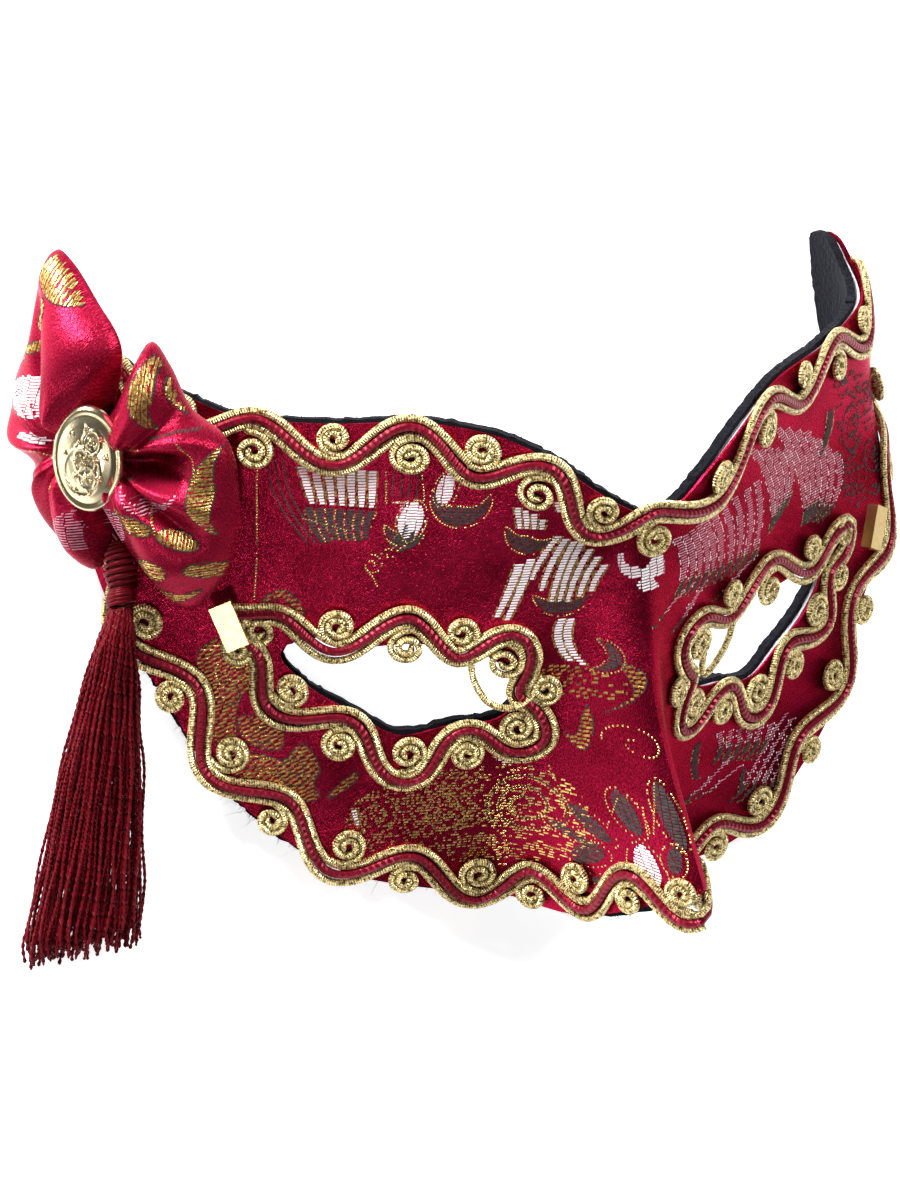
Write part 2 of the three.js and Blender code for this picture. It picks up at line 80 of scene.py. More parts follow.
to_camera = np.array([
    -math.sin(CAMERA_TURN) * math.cos(CAMERA_RISE),
    math.sin(CAMERA_RISE),
    math.cos(CAMERA_TURN) * math.cos(CAMERA_RISE)])
level = unit(np.cross([0, 1, 0], to_camera))
upright = np.cross(to_camera, level)
camera_right = math.cos(CAMERA_ROLL) * level + math.sin(CAMERA_ROLL) * upright
camera_up = math.cos(CAMERA_ROLL) * upright - math.sin(CAMERA_ROLL) * level
camera_place = (CAMERA_AIM + CAMERA_SHIFT[0] * camera_right + CAMERA_SHIFT[1] * camera_up
                + CAMERA_DISTANCE * to_camera)


def aimed(place, right, up, back):
    """A matrix that stands at a place on the mask as worn and looks along -back."""
    turned = np.array([right, up, back]) @ PITCH.T
    matrix = Matrix(turned.T.tolist()).to_4x4()
    matrix.translation = Vector(lay_down(place))
    return matrix


def in_scene(name, data):
    made = bpy.data.objects.new(name, data)
    bpy.context.scene.collection.objects.link(made)
    return made


camera_data = bpy.data.cameras.new("camera")
camera_data.lens = CAMERA_LENS
camera_data.sensor_width = 36
camera_data.clip_start = 0.01
camera = in_scene("camera", camera_data)
camera.matrix_world = aimed(camera_place, camera_right, camera_up, to_camera)
bpy.context.scene.camera = camera

for name, (direction, size, power) in LIGHTS.items():
    way = unit(direction[0] * camera_right + direction[1] * camera_up + direction[2] * to_camera)
    side = unit(np.cross(camera_up, way))
    data = bpy.data.lights.new(name, "AREA")
    data.size = size
    data.energy = power
    in_scene(name, data).matrix_world = aimed(LIGHT_DISTANCE * way, side, np.cross(way, side), way)


def set_inputs(tree, node, inputs):
    """Gives a node its inputs, as values or links."""
    for name, value in inputs.items():
        if isinstance(value, bpy.types.NodeSocket):
            tree.links.new(value, node.inputs[name])
        else:
            node.inputs[name].default_value = value


def add(tree, kind, inputs=None, **settings):
    """Adds a shader node with its settings and inputs."""
    made = tree.nodes.new("ShaderNode" + kind)
    for name, value in settings.items():
        setattr(made, name, value)
    set_inputs(tree, made, inputs or {})
    return made


def ranged(tree, value, low, high, to_low=0.0, to_high=1.0):
    return add(tree, "MapRange", {"Value": value, "From Min": low, "From Max": high,
                                  "To Min": to_low, "To Max": to_high}).outputs[0]


world = bpy.data.worlds.new("studio")
world.use_nodes = True
sky = world.node_tree
sky_height = add(sky, "SeparateXYZ", {0: add(sky, "TexCoord").outputs["Generated"]}).outputs[2]
set_inputs(sky, sky.nodes["Background"], {
    "Color": (0.96, 0.97, 1, 1), "Strength": ranged(sky, sky_height, 0, 0.35, 0.9, 0.06)})
bpy.context.scene.world = world
bpy.context.scene.view_settings.view_transform = "Standard"


def new_material(name, **values):
    """A material with a plain Principled shader, with values by socket name."""
    material = bpy.data.materials.new(name)
    material.use_nodes = True
    shader = material.node_tree.nodes["Principled BSDF"]
    set_inputs(material.node_tree, shader,
               {socket.replace("_", " "): value for socket, value in values.items()})
    return material, material.node_tree, shader


# The floor: a plain pale board of matt paint for the mask to lie on.
# It isn't part of the mask, and is only there in the picture.
FLOOR_COLOUR = (0.93, 0.93, 0.94, 1)
FLOOR_HALF = 3
floor_bm = bmesh.new()
bmesh.ops.create_grid(floor_bm, x_segments=1, y_segments=1, size=FLOOR_HALF)
floor_mesh = bpy.data.meshes.new("floor")
floor_bm.to_mesh(floor_mesh)
floor_bm.free()
floor_mesh.materials.append(new_material(
    "floor_paint", Base_Color=FLOOR_COLOUR, Roughness=0.8, Emission_Color=FLOOR_COLOUR,
    Emission_Strength=0.75)[0])
floor = in_scene("floor", floor_mesh)

# The brocade cover: crimson satin glued over the moulded half face, cut along a scalloping edge
# and open at both eyes. Its face is worked out as girth round the head and height above the eyes.
GIRTH_REACH = 135
CHEEK_SLOPE = 26
BROW_ROUND = 22
TEMPLE_START = 86
TEMPLE_RUN = 35.5
TEMPLE_TURN = 88
FACE_UNIT = 50
WIDTH_TAPER = -0.06
DEPTH_TAPER = 0.47
BROW_LEAN = 9.5
NOSE_HEIGHT = 19.4
NOSE_WIDTH = 7.2
NOSE_ROOT = 23.4
NOSE_RUN = 41
NOSE_REACH = 1.6
TEMPLE = [[97, 46.5], [103, 49.5], [107, 54], [110.5, 54], [112, 48], [113, 39.5], [113.2, 31],
          [110.5, 20]]
LEFT_BROW = [[4.5, 25.5], [10.5, 29], [19, 34.5], [28, 38.5], [34.5, 40], [45, 41], [62, 39.5],
             [78, 40], [87, 43]]
RIGHT_BROW = [[4, 22], [10.5, 25], [15, 28], [20, 30.5], [31, 35.5], [45.5, 40], [56, 41],
              [70, 41.5], [86, 43.5]]
LEFT_CHEEK = [[103, 7.5], [96, -3.5], [89, -13], [80.5, -26], [69, -38.5], [52, -50],
              [34, -55.5], [17, -58.5], [9.5, -59]]
RIGHT_CHEEK = [[102, 6], [93, -4.5], [84, -14.5], [76, -27], [66.5, -40], [53, -52.5],
               [37, -59.5], [18, -60], [9.5, -59]]
NOSE_TIP = [0, -43]
EYE_HOLE = [[20, -14.5], [25, -6.5], [38, -3.5], [51, -4], [62, -2.5], [66.5, -5.5], [60, -12.5],
            [51, -17.5], [42, -22.5], [32, -20.5], [23, -19]]
OUTLINE_STATIONS = 420
EYE_STATIONS = 110
SHEET_STEP = 1.3
SHEET_WIDTH = 236
SHEET_HEIGHT = 130
SHEET_MIDDLE = -2
BROCADE_THICKNESS = 0.45
CLOTH_RISE = 0.25
CRIMSON = (0.34, 0.007, 0.036, 1)
CRIMSON_DEEP = (0.15, 0.002, 0.012, 1)


def smooth_step(t):
    c = np.clip(t, 0, 1)
    return c * c * (3 - 2 * c)


middles = np.arange(GIRTH_REACH) + 0.5
turns = np.radians(CHEEK_SLOPE * smooth_step(middles / BROW_ROUND)
                   + TEMPLE_TURN * smooth_step((middles - TEMPLE_START) / TEMPLE_RUN))
girth_x = np.concatenate([[0], np.cumsum(np.cos(turns))])
girth_z = -np.concatenate([[0], np.cumsum(np.sin(turns))])


def face_point(s, y):
    """The brocade's outer face at a girth and a height."""
    s, y = np.asarray(s, float), np.asarray(y, float)
    reach = np.minimum(np.abs(s), GIRTH_REACH)
    steps = np.arange(GIRTH_REACH + 1)
    rise = y / FACE_UNIT
    x = np.sign(s) * np.interp(reach, steps, girth_x) * (1 + WIDTH_TAPER * rise)
    down = np.clip((NOSE_ROOT - y) / NOSE_RUN, 0, NOSE_REACH)
    side = np.abs(x / (NOSE_WIDTH * (0.8 + 0.3 * down)))
    ridge = NOSE_HEIGHT * down ** 1.6 * np.exp(-side ** 1.8)
    z = np.interp(reach, steps, girth_z) * (1 + DEPTH_TAPER * rise) + BROW_LEAN * rise + ridge
    return np.stack([x, y, z], -1)


def face_frame(s, y, reach=0.4):
    """The face's slopes along its girth and up it, and its outward direction."""
    along = (face_point(s + reach, y) - face_point(s - reach, y)) / (2 * reach)
    up = (face_point(s, y + reach) - face_point(s, y - reach)) / (2 * reach)
    return along, up, unit(np.cross(along, up))


def on_face(s, y, height):
    normal = face_frame(s, y)[2]
    return face_point(s, y) + normal * np.asarray(height, float)[..., None]


def way_along(points):
    """How far along a line each of its points lies."""
    return np.concatenate([[0], np.cumsum(np.linalg.norm(np.diff(points, axis=0), axis=1))])


def read_off(goals, steps, table):
    """A table's columns, read off between its rows."""
    return np.stack([np.interp(goals, steps, column) for column in np.asarray(table, float).T], -1)


def closed(points):
    return np.vstack([points, points[:1]])


def closed_curve(points, count):
    """A closed centripetal spline through points, sampled evenly."""
    p = np.array(points, float)
    before, after, later = np.roll(p, 1, 0), np.roll(p, -1, 0), np.roll(p, -2, 0)
    gaps = [np.linalg.norm(b - a, axis=1)[:, None] ** 0.5
            for a, b in ((before, p), (p, after), (after, later))]
    start = ((p - before) / gaps[0] - (after - before) / (gaps[0] + gaps[1])
             + (after - p) / gaps[1]) * gaps[1]
    end = ((after - p) / gaps[1] - (later - p) / (gaps[1] + gaps[2])
           + (later - after) / gaps[2]) * gaps[1]
    t = np.linspace(0, 1, 24, endpoint=False)[None, :, None]
    p, after, start, end = p[:, None], after[:, None], start[:, None], end[:, None]
    fine = closed((p + start * t + (-3 * p + 3 * after - 2 * start - end) * t ** 2
                   + (2 * p - 2 * after + start + end) * t ** 3).reshape(-1, p.shape[-1]))
    lengths = way_along(fine)
    return read_off(np.linspace(0, lengths[-1], count, endpoint=False), lengths, fine)


def mirrored(points):
    return [[-s, y] for s, y in points]


def moved_loop(loop, distance):
    """A loop moved sideways by a distance, to its right hand."""
    ahead = np.roll(loop, -1, 0) - np.roll(loop, 1, 0)
    ahead /= np.linalg.norm(ahead, axis=1)[:, None]
    return loop + np.stack([ahead[:, 1], -ahead[:, 0]], -1) * distance


def inside(loop, points):
    """Which points lie inside a loop, by the edges that are crossed on the way out."""
    a, b = loop, np.roll(loop, -1, 0)
    x, y = points[:, :1], points[:, 1:]
    spans = (a[:, 1] > y) != (b[:, 1] > y)
    rise = np.where(b[:, 1] == a[:, 1], 1, b[:, 1] - a[:, 1])
    crossing = a[:, 0] + (y - a[:, 1]) / rise * (b[:, 0] - a[:, 0])
    return (spans & (x < crossing)).sum(1) % 2 == 1


def nearest_on(loop, point):
    """How near a loop comes to a point, and where."""
    edge = np.roll(loop, -1, 0) - loop
    share = np.clip(((point - loop) * edge).sum(1) / (edge ** 2).sum(1), 0, 1)
    feet = loop + edge * share[:, None]
    distances = np.linalg.norm(feet - point, axis=1)
    best = distances.argmin()
    return distances[best], feet[best]


cut_line = [NOSE_TIP, *RIGHT_CHEEK[::-1], *TEMPLE[::-1], *RIGHT_BROW[::-1],
            *mirrored(LEFT_BROW), *mirrored(TEMPLE), *mirrored(LEFT_CHEEK)]
outline = closed_curve(cut_line, OUTLINE_STATIONS)
eye_holes = [closed_curve(hole, EYE_STATIONS) for hole in (EYE_HOLE, mirrored(EYE_HOLE))]


def new_piece(name, bm, material, replaces=None, sharp=40):
    """Makes a finished piece of a bmesh and lets it ride on the mask."""
    mesh = bpy.data.meshes.new(name)
    bm.to_mesh(mesh)
    bm.free()
    mesh.shade_smooth()
    mesh.set_sharp_from_angle(angle=math.radians(sharp))
    mesh.materials.append(material)
    piece = in_scene(name, mesh)
    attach(piece, "root")
    if replaces:
        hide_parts(replaces)


def settle(bm, verts, placed, layer, flat):
    """Puts new vertices in their places, and gives their faces a UV from flat places."""
    uv = bm.loops.layers.uv[layer]
    order = {vert: i for i, vert in enumerate(verts)}
    for face in {face for vert in verts for face in vert.link_faces}:
        for corner in face.loops:
            corner[uv].uv = flat[order[corner.vert]]
    for vert, place in zip(verts, placed):
        vert.co = place


def cloth_rise(s, y):
    """How the glued cloth rises and sinks a little over the shell."""
    return CLOTH_RISE * (0.7 + np.sin(s / 6.5 + y / 11) + np.sin(y / 5.5 - s / 14 + 1.3))


def face_sheet(height, thickness, fringe=0.0, step=SHEET_STEP, ragged=0.0, glued=False):
    """A sheet of the face's shape at a height over the brocade, cut out at the edge and the eyes."""
    bm = bmesh.new()
    across, up = round(SHEET_WIDTH / step), round(SHEET_HEIGHT / step)
    bmesh.ops.create_grid(bm, x_segments=across, y_segments=up, size=0.5)
    bmesh.ops.transform(bm, matrix=Matrix.Diagonal((SHEET_WIDTH, SHEET_HEIGHT, 1, 1)), verts=bm.verts)
    bmesh.ops.translate(bm, vec=(0, SHEET_MIDDLE, 0), verts=bm.verts)
    cuts = [moved_loop(outline, fringe), moved_loop(eye_holes[0], fringe),
            moved_loop(eye_holes[1], -fringe)]
    middle = np.array([f.calc_center_median()[:2] for f in bm.faces])
    kept = inside(cuts[0], middle) & ~inside(cuts[1], middle) & ~inside(cuts[2], middle)
    outside = [f for f, keep in zip(bm.faces[:], kept) if not keep]
    bmesh.ops.delete(bm, geom=outside, context="FACES")
    for vert in [v for v in bm.verts if v.is_boundary]:
        here = np.array(vert.co[:2])
        reached = min((nearest_on(cut, here) for cut in cuts), key=lambda found: found[0])[1]
        vert.co = (*(reached + random.normal(0, 1, 2) * ragged), 0)
    layer = bmesh.ops.extrude_face_region(bm, geom=bm.faces[:], use_keep_orig=True)["geom"]
    under = [v for v in layer if isinstance(v, bmesh.types.BMVert)]
    bmesh.ops.translate(bm, vec=(0, 0, -1), verts=under)
    bmesh.ops.recalc_face_normals(bm, faces=bm.faces)
    bm.loops.layers.uv.new("cloth")
    flat = np.array([v.co for v in bm.verts])
    levels = height + thickness * flat[:, 2]
    if glued:
        levels = levels + cloth_rise(flat[:, 0], flat[:, 1])
    placed = lay_down(on_face(flat[:, 0], flat[:, 1], levels))
    settle(bm, bm.verts[:], placed, "cloth", flat[:, :2])
    return bm


def noise(tree, place, scale, detail=2.0):
    return add(tree, "TexNoise", {"Vector": place, "Scale": scale, "Detail": detail}).outputs["Fac"]


def worked(tree, operation, *values):
    """One step of arithmetic."""
    return add(tree, "Math", dict(enumerate(values)), operation=operation).outputs[0]


def stretched(tree, place, factors):
    return add(tree, "VectorMath", {0: place, 1: factors}, operation="MULTIPLY").outputs[0]


def mix_colours(tree, factor, first, second):
    return add(tree, "Mix", {0: factor, 6: first, 7: second}, data_type="RGBA").outputs[2]


def bumped(tree, height, strength, distance):
    return add(tree, "Bump", {"Height": height, "Strength": strength, "Distance": distance}).outputs[0]


def new_group(name, inputs, outputs):
    """A shader node group with named inputs and outputs, each as (name, type)."""
    tree = bpy.data.node_groups.new(name, "ShaderNodeTree")
    for sockets, way in ((inputs, "INPUT"), (outputs, "OUTPUT")):
        for title, kind in sockets:
            tree.interface.new_socket(title, in_out=way, socket_type="NodeSocket" + kind)
    return tree, tree.nodes.new("NodeGroupInput").outputs, tree.nodes.new("NodeGroupOutput")


# Satin weave: fine threads across the cloth, a little uneven, which the light picks out
satin_weave, weave_in, weave_out = new_group(
    "satin_weave", [("Place", "Vector"), ("Light", "Color"), ("Deep", "Color")],
    [("Colour", "Color"), ("Height", "Float"), ("Roughness", "Float")])
satin_threads = noise(satin_weave, stretched(satin_weave, weave_in["Place"], (1.9, 0.55, 1)), 4.2, 0.5)
satin_tone = worked(satin_weave, "ADD", satin_threads, noise(satin_weave, weave_in["Place"], 0.09))
set_inputs(satin_weave, weave_out, {
    "Colour": mix_colours(satin_weave, ranged(satin_weave, satin_tone, 0.72, 1.22),
                          weave_in["Deep"], weave_in["Light"]),
    "Height": satin_threads,
    "Roughness": ranged(satin_weave, satin_threads, 0, 1, 0.2, 0.33)})


def grouped_material(name, uv_map, group, inputs, **values):
    """A material with a shader node group on a UV map: its tree, its shader and what comes out."""
    material, tree, shader = new_material(name, **values)
    place = add(tree, "UVMap", uv_map=uv_map).outputs[0]
    made = add(tree, "Group", {"Place": place, **inputs}, node_tree=group)
    return material, tree, shader, made.outputs


def brocade_material(name, light, deep, gloss=0.9):
    """Crimson satin on its own cloth coordinates, in millimetres."""
    material, tree, shader, weave = grouped_material(
        name, "cloth", satin_weave, {"Light": light, "Deep": deep}, Metallic=gloss,
        Specular_IOR_Level=0.2, Specular_Tint=(1, 0.35, 0.45, 1))
    set_inputs(tree, shader, {
        "Base Color": weave["Colour"], "Roughness": weave["Roughness"],
        "Normal": bumped(tree, weave["Height"], 0.55, 0.0002)})
    return material


new_piece("brocade_front", face_sheet(0.0, BROCADE_THICKNESS, glued=True),
          brocade_material("cover_satin", CRIMSON, CRIMSON_DEEP), "brocade_cover")

# The woven pattern: extra threads float over the crimson ground in level rows, held down between
# floats. Silver and rose floats fill plumes and petals, black ones their tips, and gold foil
# threads dot their outlines and fill the scrolling clouds.
THREAD_ROW = 0.56
CLOUD_ROW = 0.84
THREAD_WIDTH = {"silver": 0.4, "rose": 0.24, "black": 0.47, "olive": 0.46, "gold": 0.34}
THREAD_CREST = 0.13
FLOAT_LENGTH = 2.0
DOT_LENGTH = 0.34
FLOAT_END = 0.08
FLOAT_SIDE = 0.02
SLANT = 0.1
CLOUD_SLANT = 0.4
COLUMN_GAP = 0.13
BINDING_GAP = 0.1
EDGE_DOT = (0.12, 0.42)
COVER_FLOAT_LIFT = 0.01
RIM_STATIONS = 60
CURL_STATIONS = 50


def row_levels(low, high, pitch=THREAD_ROW):
    return np.arange(math.ceil(low / pitch), math.floor(high / pitch) + 1) * pitch


def face_stretch(s, y):
    """How long one unit of girth is on the face at a place."""
    return np.linalg.norm(face_frame(s, y)[0], axis=-1)


def column_floats(stations, gap=COLUMN_GAP):
    """Floats across a column that is given by girth, height and width from its top down."""
    stations = np.array(stations, float)
    stations = stations[np.argsort(stations[:, 1])]
    floats = []
    for y in row_levels(stations[0, 1], stations[-1, 1]):
        middle, width = read_off(y, stations[:, 1], stations[:, [0, 2]])
        middle += random.normal(0, 0.04)
        floats.append((middle - width / 2 + gap, y, middle + width / 2 - gap, y))
    return floats


def filled_floats(loop, share=1.0, length=FLOAT_LENGTH, brick=False, stretch=face_stretch,
                  pitch=THREAD_ROW):
    """Floats in rows inside a closed loop, bound down in upright lines, or in brick order.
    A share below 1 thins them out and shortens them."""
    loop = closed_curve(loop, 8 * len(loop))
    after = np.roll(loop, -1, 0)
    floats = []
    for y in row_levels(loop[:, 1].min(), loop[:, 1].max(), pitch):
        crossing = (loop[:, 1] > y) != (after[:, 1] > y)
        part = (y - loop[crossing, 1]) / (after[crossing, 1] - loop[crossing, 1])
        ends = np.sort(loop[crossing, 0] + part * (after[crossing, 0] - loop[crossing, 0]))
        for left, right in zip(ends[::2], ends[1::2]):
            step = length / stretch((left + right) / 2, y)
            gap = BINDING_GAP * step
            start = left
            stop = (math.floor(left / step) + 1) * step + random.normal(0, 0.03 * step)
            if brick or share < 1:
                stop = left + random.uniform(0.3, 1) * step
            while start < right - gap:
                if random.random() < share:
                    end = start + (min(stop, right) - start - gap) * (
                        1 if share == 1 or brick else random.uniform(0.4, 0.95))
                    floats.append((start, y, end, y))
                start = stop
                stop = start + step * (1 if share == 1 and not brick else random.uniform(0.8, 1.15))
    return [one for one in floats if one[2] > one[0] + 0.05]


def dotted(points, keep=1.0, stretch=face_stretch):
    """Short floats, one a row, that follow a line; some of them may be missing."""
    lengths = way_along(points)
    s, y = read_off(np.arange(0, lengths[-1], THREAD_ROW), lengths, points).T
    half = DOT_LENGTH / 2 / stretch(s, y) * np.ones(len(s))
    return [(a - c, b, a + c, b) for a, b, c in zip(s, y, half) if random.random() < keep]


def column_edges(stations, keep=0.75):
    """Dots beside the ends of a column's floats."""
    near, far = EDGE_DOT
    floats = column_floats(stations)
    left = [(a - far, y, a - near, y) for a, y, _, _ in floats if random.random() < keep]
    right = [(b + near, y, b + far, y) for _, y, b, _ in floats if random.random() < keep]
    return left + right


def new_grid(bm, across, up):
    """A grid's new vertices, with their places from 0 to 1 both ways."""
    verts = bmesh.ops.create_grid(bm, x_segments=across, y_segments=up, size=0.5)["verts"]
    return verts, *(np.array([v.co[:2] for v in verts]) + 0.5).T


def float_mesh(floats, onto, thread_width, slant=SLANT):
    """Makes every float a small raised bar, two cells long and two wide."""
    floats = np.array(floats)
    count = len(floats)
    bm = bmesh.new()
    verts, u, v = new_grid(bm, 3 * count - 1, 2)
    row = np.rint(u * (3 * count - 1)).astype(int)
    number, station = row // 3, (row % 3) / 2
    across = np.rint(v * 2) - 1
    width = thread_width * random.uniform(0.85, 1.1, count)[number]
    ends = floats[number]
    middle = (ends[:, 0] + ends[:, 2]) / 2
    s = ends[:, 0] + (ends[:, 2] - ends[:, 0]) * station
    y = ends[:, 1] + (s - middle) * slant + across * width / 2
    height = np.where(across == 0, np.where(station == 0.5, THREAD_CREST, FLOAT_END), FLOAT_SIDE)
    bm.loops.layers.uv.new("cloth")
    settle(bm, verts, onto(s, y, height), "cloth", np.stack([s, y], -1))
    owner = dict(zip(verts, number))
    gaps = [face for face in bm.faces if len({owner[vert] for vert in face.verts}) > 1]
    bmesh.ops.delete(bm, geom=gaps, context="FACES")
    return bm


# Thread tone: every float a little lighter or darker than the next
thread_tone, tone_in, tone_out = new_group(
    "thread_tone", [("Place", "Vector"), ("Light", "Color"), ("Deep", "Color")],
    [("Colour", "Color")])
tone_share = ranged(thread_tone, noise(thread_tone, tone_in["Place"], 1.6, 3.0), 0.35, 0.65)
set_inputs(thread_tone, tone_out, {
    "Colour": mix_colours(thread_tone, tone_share, tone_in["Deep"], tone_in["Light"])})


def thread_material(name, light, deep, **values):
    material, tree, shader, tone = grouped_material(
        name, "cloth", thread_tone, {"Light": light, "Deep": deep}, **values)
    set_inputs(tree, shader, {"Base Color": tone["Colour"]})
    return material


threads = {
    "silver": thread_material("silver_thread", (1.0, 0.97, 0.97, 1), (0.90, 0.76, 0.80, 1),
                              Roughness=0.35),
    "rose": thread_material("rose_thread", (0.72, 0.38, 0.46, 1), (0.44, 0.14, 0.22, 1),
                            Roughness=0.45),
    "black": thread_material("black_thread", (0.062, 0.054, 0.052, 1), (0.030, 0.022, 0.022, 1),
                             Roughness=0.7, Specular_IOR_Level=0.1),
    "olive": thread_material("olive_thread", (0.50, 0.32, 0.06, 1), (0.09, 0.04, 0.008, 1),
                             Roughness=0.38, Metallic=0.6),
    "gold": thread_material("gold_foil", (0.95, 0.68, 0.22, 1), (0.30, 0.14, 0.03, 1),
                            Roughness=0.25, Metallic=0.8)}

# The pattern's motifs, placed by girth and height. A fan's columns run from their tops down to
# their feet: a row of tops, a row of feet, how far they bow sideways, their number and width
SILVER_FANS = [
    ([(-65, 31), (-58, 32), (-52, 31)], [(-62.5, 24), (-51.5, 24)], 0, 7, 1.7),
    ([(-23, 14), (-21, 15)], [(-26, 2.5), (-24, 2)], 0.3, 2, 1.8),
    ([(-16.5, 20), (-12, 18.5), (-6.5, 14)], [(-20.5, 10.5), (-16, 6), (-13, 6), (-9, 8)], -0.5, 7,
     1.5),
    ([(-13.5, 2.5), (-12, 2.5)], [(-11, -6.5), (-9, -7)], -1.5, 2, 1.7),
    ([(-25, 25.5), (-20, 23.5)], [(-24, 21), (-20, 20.8)], 0, 4, 1.3),
    ([(-17.5, 27)], [(-17, 25)], 0, 1, 2), ([(-49.5, -38)], [(-48.5, -41)], 0, 1, 1.2),
    ([(-22, -27)], [(-19.5, -29)], 0, 1, 2.3)]
ROSE_FANS = [
    ([(-46, 25.5), (-42, 23.5)], [(-45.5, 20), (-43, 18.5)], 0, 3, 1.5),
    ([(9, 17), (19, 18.5), (38, 21.5)], [(12, 7), (25, 6), (40, 6)], 1.5, 10, 2.4),
    ([(41, 5), (21, 5), (17, 6)], [(30, 0), (14, -1.5), (6, 2)], 0, 3, 2.6),
    ([(35, 29), (50.5, 25)], [(46, 11.5), (53, 14)], 2.5, 5, 2.4),
    ([(47, 30), (60.5, 26), (74, 18)], [(61, 9), (66, 9), (72, 7)], 3, 7, 2.5),
    ([(55, -34), (63, -40)], [(41, -47), (53, -49)], -1, 5, 1.9),
    ([(32.5, -32), (50, -35)], [(33, -36), (48, -38.5)], 0, 6, 1.9),
    ([(37, -39), (39.5, -42)], [(26, -45), (29.5, -45.5)], 0, 2, 2.3)]
BLACK_FANS = [
    ([(-63, 23), (-51.5, 23)], [(-60, 16.5), (-52, 17.5)], -0.5, 7, 1.6),
    ([(-25, 29), (-23, 28)], [(-24.5, 26.5), (-22, 26)], 0, 2, 1.3),
    ([(71.5, 28)], [(67.5, 19)], 1, 1, 3.2), ([(76, 34)], [(80, 31)], 0, 1, 4),
    ([(25.5, -33)], [(27, -42)], -1, 1, 2.2), ([(41, -43)], [(40, -48)], 0, 1, 1.6)]
# Hooks: middle, radius, thickness, and the angles in degrees that they run between
BLACK_HOOKS = [(-14.3, 8.6, 5.2, 2.8, 195, 350), (-21.8, 20.5, 4.4, 3.2, 170, 345),
               (-35.3, 26.5, 5.3, 3.6, 165, 375), (-45.5, 20, 3, 2, 170, 300),
               (-7, -4.6, 3, 1.8, -110, 95)]
# Leaves: middle, length, width and the way they point in degrees
SILVER_LEAVES = [(-44, 21.8, 7.5, 4.6, 80), (-38.3, 28.3, 6.5, 3.4, 80), (-4.6, -42.8, 10, 1.9, 90)]
BLACK_LEAVES = [(-1.6, -31, 11, 2.2, 97), (-8.6, -37.5, 6, 2, 120), (-8.8, -44, 5.5, 2.2, 75),
                (-5.4, -33, 7, 1.9, 100), (-6.6, -48, 4, 1.6, 40), (-10.5, -40.8, 5, 1.6, 150),
                (-2.2, -38.5, 5, 1.3, 80)]
SILVER_SPRIG = [(-4.5, 16), (-3.5, 16), (-3, 14), (-1, 13), (1.5, 13), (3, 15), (5, 15), (6, 13.5),
                (6, 10.5), (3, 10), (4.5, 8.5), (1, 8), (-1, 9.5), (0, 11), (-2, 11), (-4, 12.5)]
OLIVE_CLOUDS = [
    [(-70.5, 5), (-67, 7), (-63, 4), (-62.5, 1.5), (-66, 5)],
    [(-82, -5.5), (-78, -2.5), (-74, -2), (-71, -5), (-70, -11), (-73, -14), (-74, -18), (-74, -23),
     (-77, -24), (-80, -15)],
    [(-73.5, -18), (-70, -18), (-65, -20.5), (-65, -24.5), (-70, -24), (-73, -21.5)],
    [(-77, -25), (-69, -25.5), (-64.5, -27), (-61, -23.5), (-57, -29), (-58, -32), (-56.5, -35),
     (-66, -34.5), (-75, -28)],
    [(-55, -35), (-50, -30), (-49, -30.7), (-54, -35)],
    [(-4, -5.5), (-1, -7), (-1.8, -10), (-6.5, -15.5), (-3, -10.5)],
    [(-8.5, -15), (-7.8, -18.5), (-9, -24), (-11.3, -21), (-10, -21.8), (-9, -17)]]
OLIVE_WISPS = [
    [(-32, -31), (-23.5, -31.5), (-27.5, -37.5), (-22, -41), (-28, -43)],
    [(-16, -8.5), (-12, -7), (-3, -9.5), (-7.5, -14), (-15, -12)]]
GOLD_FIELDS = [
    [(-50, -37), (-40, -32), (-24, -29), (-10, -31), (-9, -45), (-18, -52), (-34, -48), (-50, -45)],
    [(-39.5, -36), (-30, -32), (-28, -37), (-31.5, -44), (-37, -44.5)],
    [(-25, -44), (-15.5, -46), (-9, -44), (-16.5, -49), (-24, -50)]]
BLACK_LACE = [(73, 34), (94, 29), (96.5, 22), (92, 5.5), (78, 6), (76, 19.5)]
# Curls: middle, inner and outer radius, turns, and the angle in degrees where they start
GOLD_CURLS = [(-16, -37.5, 1, 6.6, 2.6, 0), (-16, -37.5, 1.5, 7.4, 2.6, 25),
              (-31, -38.5, 0.8, 5, 1.8, 90), (-45, -39.5, 0.8, 5, 1.8, 200),
              (-50.5, 12.5, 0.5, 2.2, 1.3, 0), (-47.5, 14.8, 0.4, 1.4, 1, 180), (-75, -9, 1, 4, 1.6, 60),
              (-67, -30, 1, 4.4, 1.6, 10), (-3.5, -20, 0.8, 3.6, 1.2, 120)]
BLACK_CURLS = [(82, 22, 1, 5.5, 1.7, 40), (90, 14, 0.8, 5, 1.6, 200), (81, 11, 0.8, 4, 1.5, 100),
               (91, 25, 0.8, 4, 1.4, 0), (-76, -14, 0.8, 3.4, 1.3, 80), (-69, -21.5, 0.8, 2.6, 1.2, 0),
               (-62, -29, 0.8, 3.8, 1.4, 200), (-16, -37.5, 1.3, 7, 2.6, 12)]
GOLD_LINES = [
    [(-73, 37), (-73, 28), (-72, 13), (-72, 5)], [(-51, 11), (-50, 10), (-49, 8)],
    [(-64, 21), (-59.5, 20), (-55, 19)], [(-49.5, 31), (-49, 25), (-42, 26), (-43, 31)],
    [(-2.5, -26), (-3.5, -35)], [(-10, -36), (-9, -38.5), (-9, -43.5)],
    [(-13, -28), (-10.5, -35), (-9, -42)],
    [(-7, -36.5), (-6, -31), (-5, -30), (-4, -31), (-4, -36.5)]]
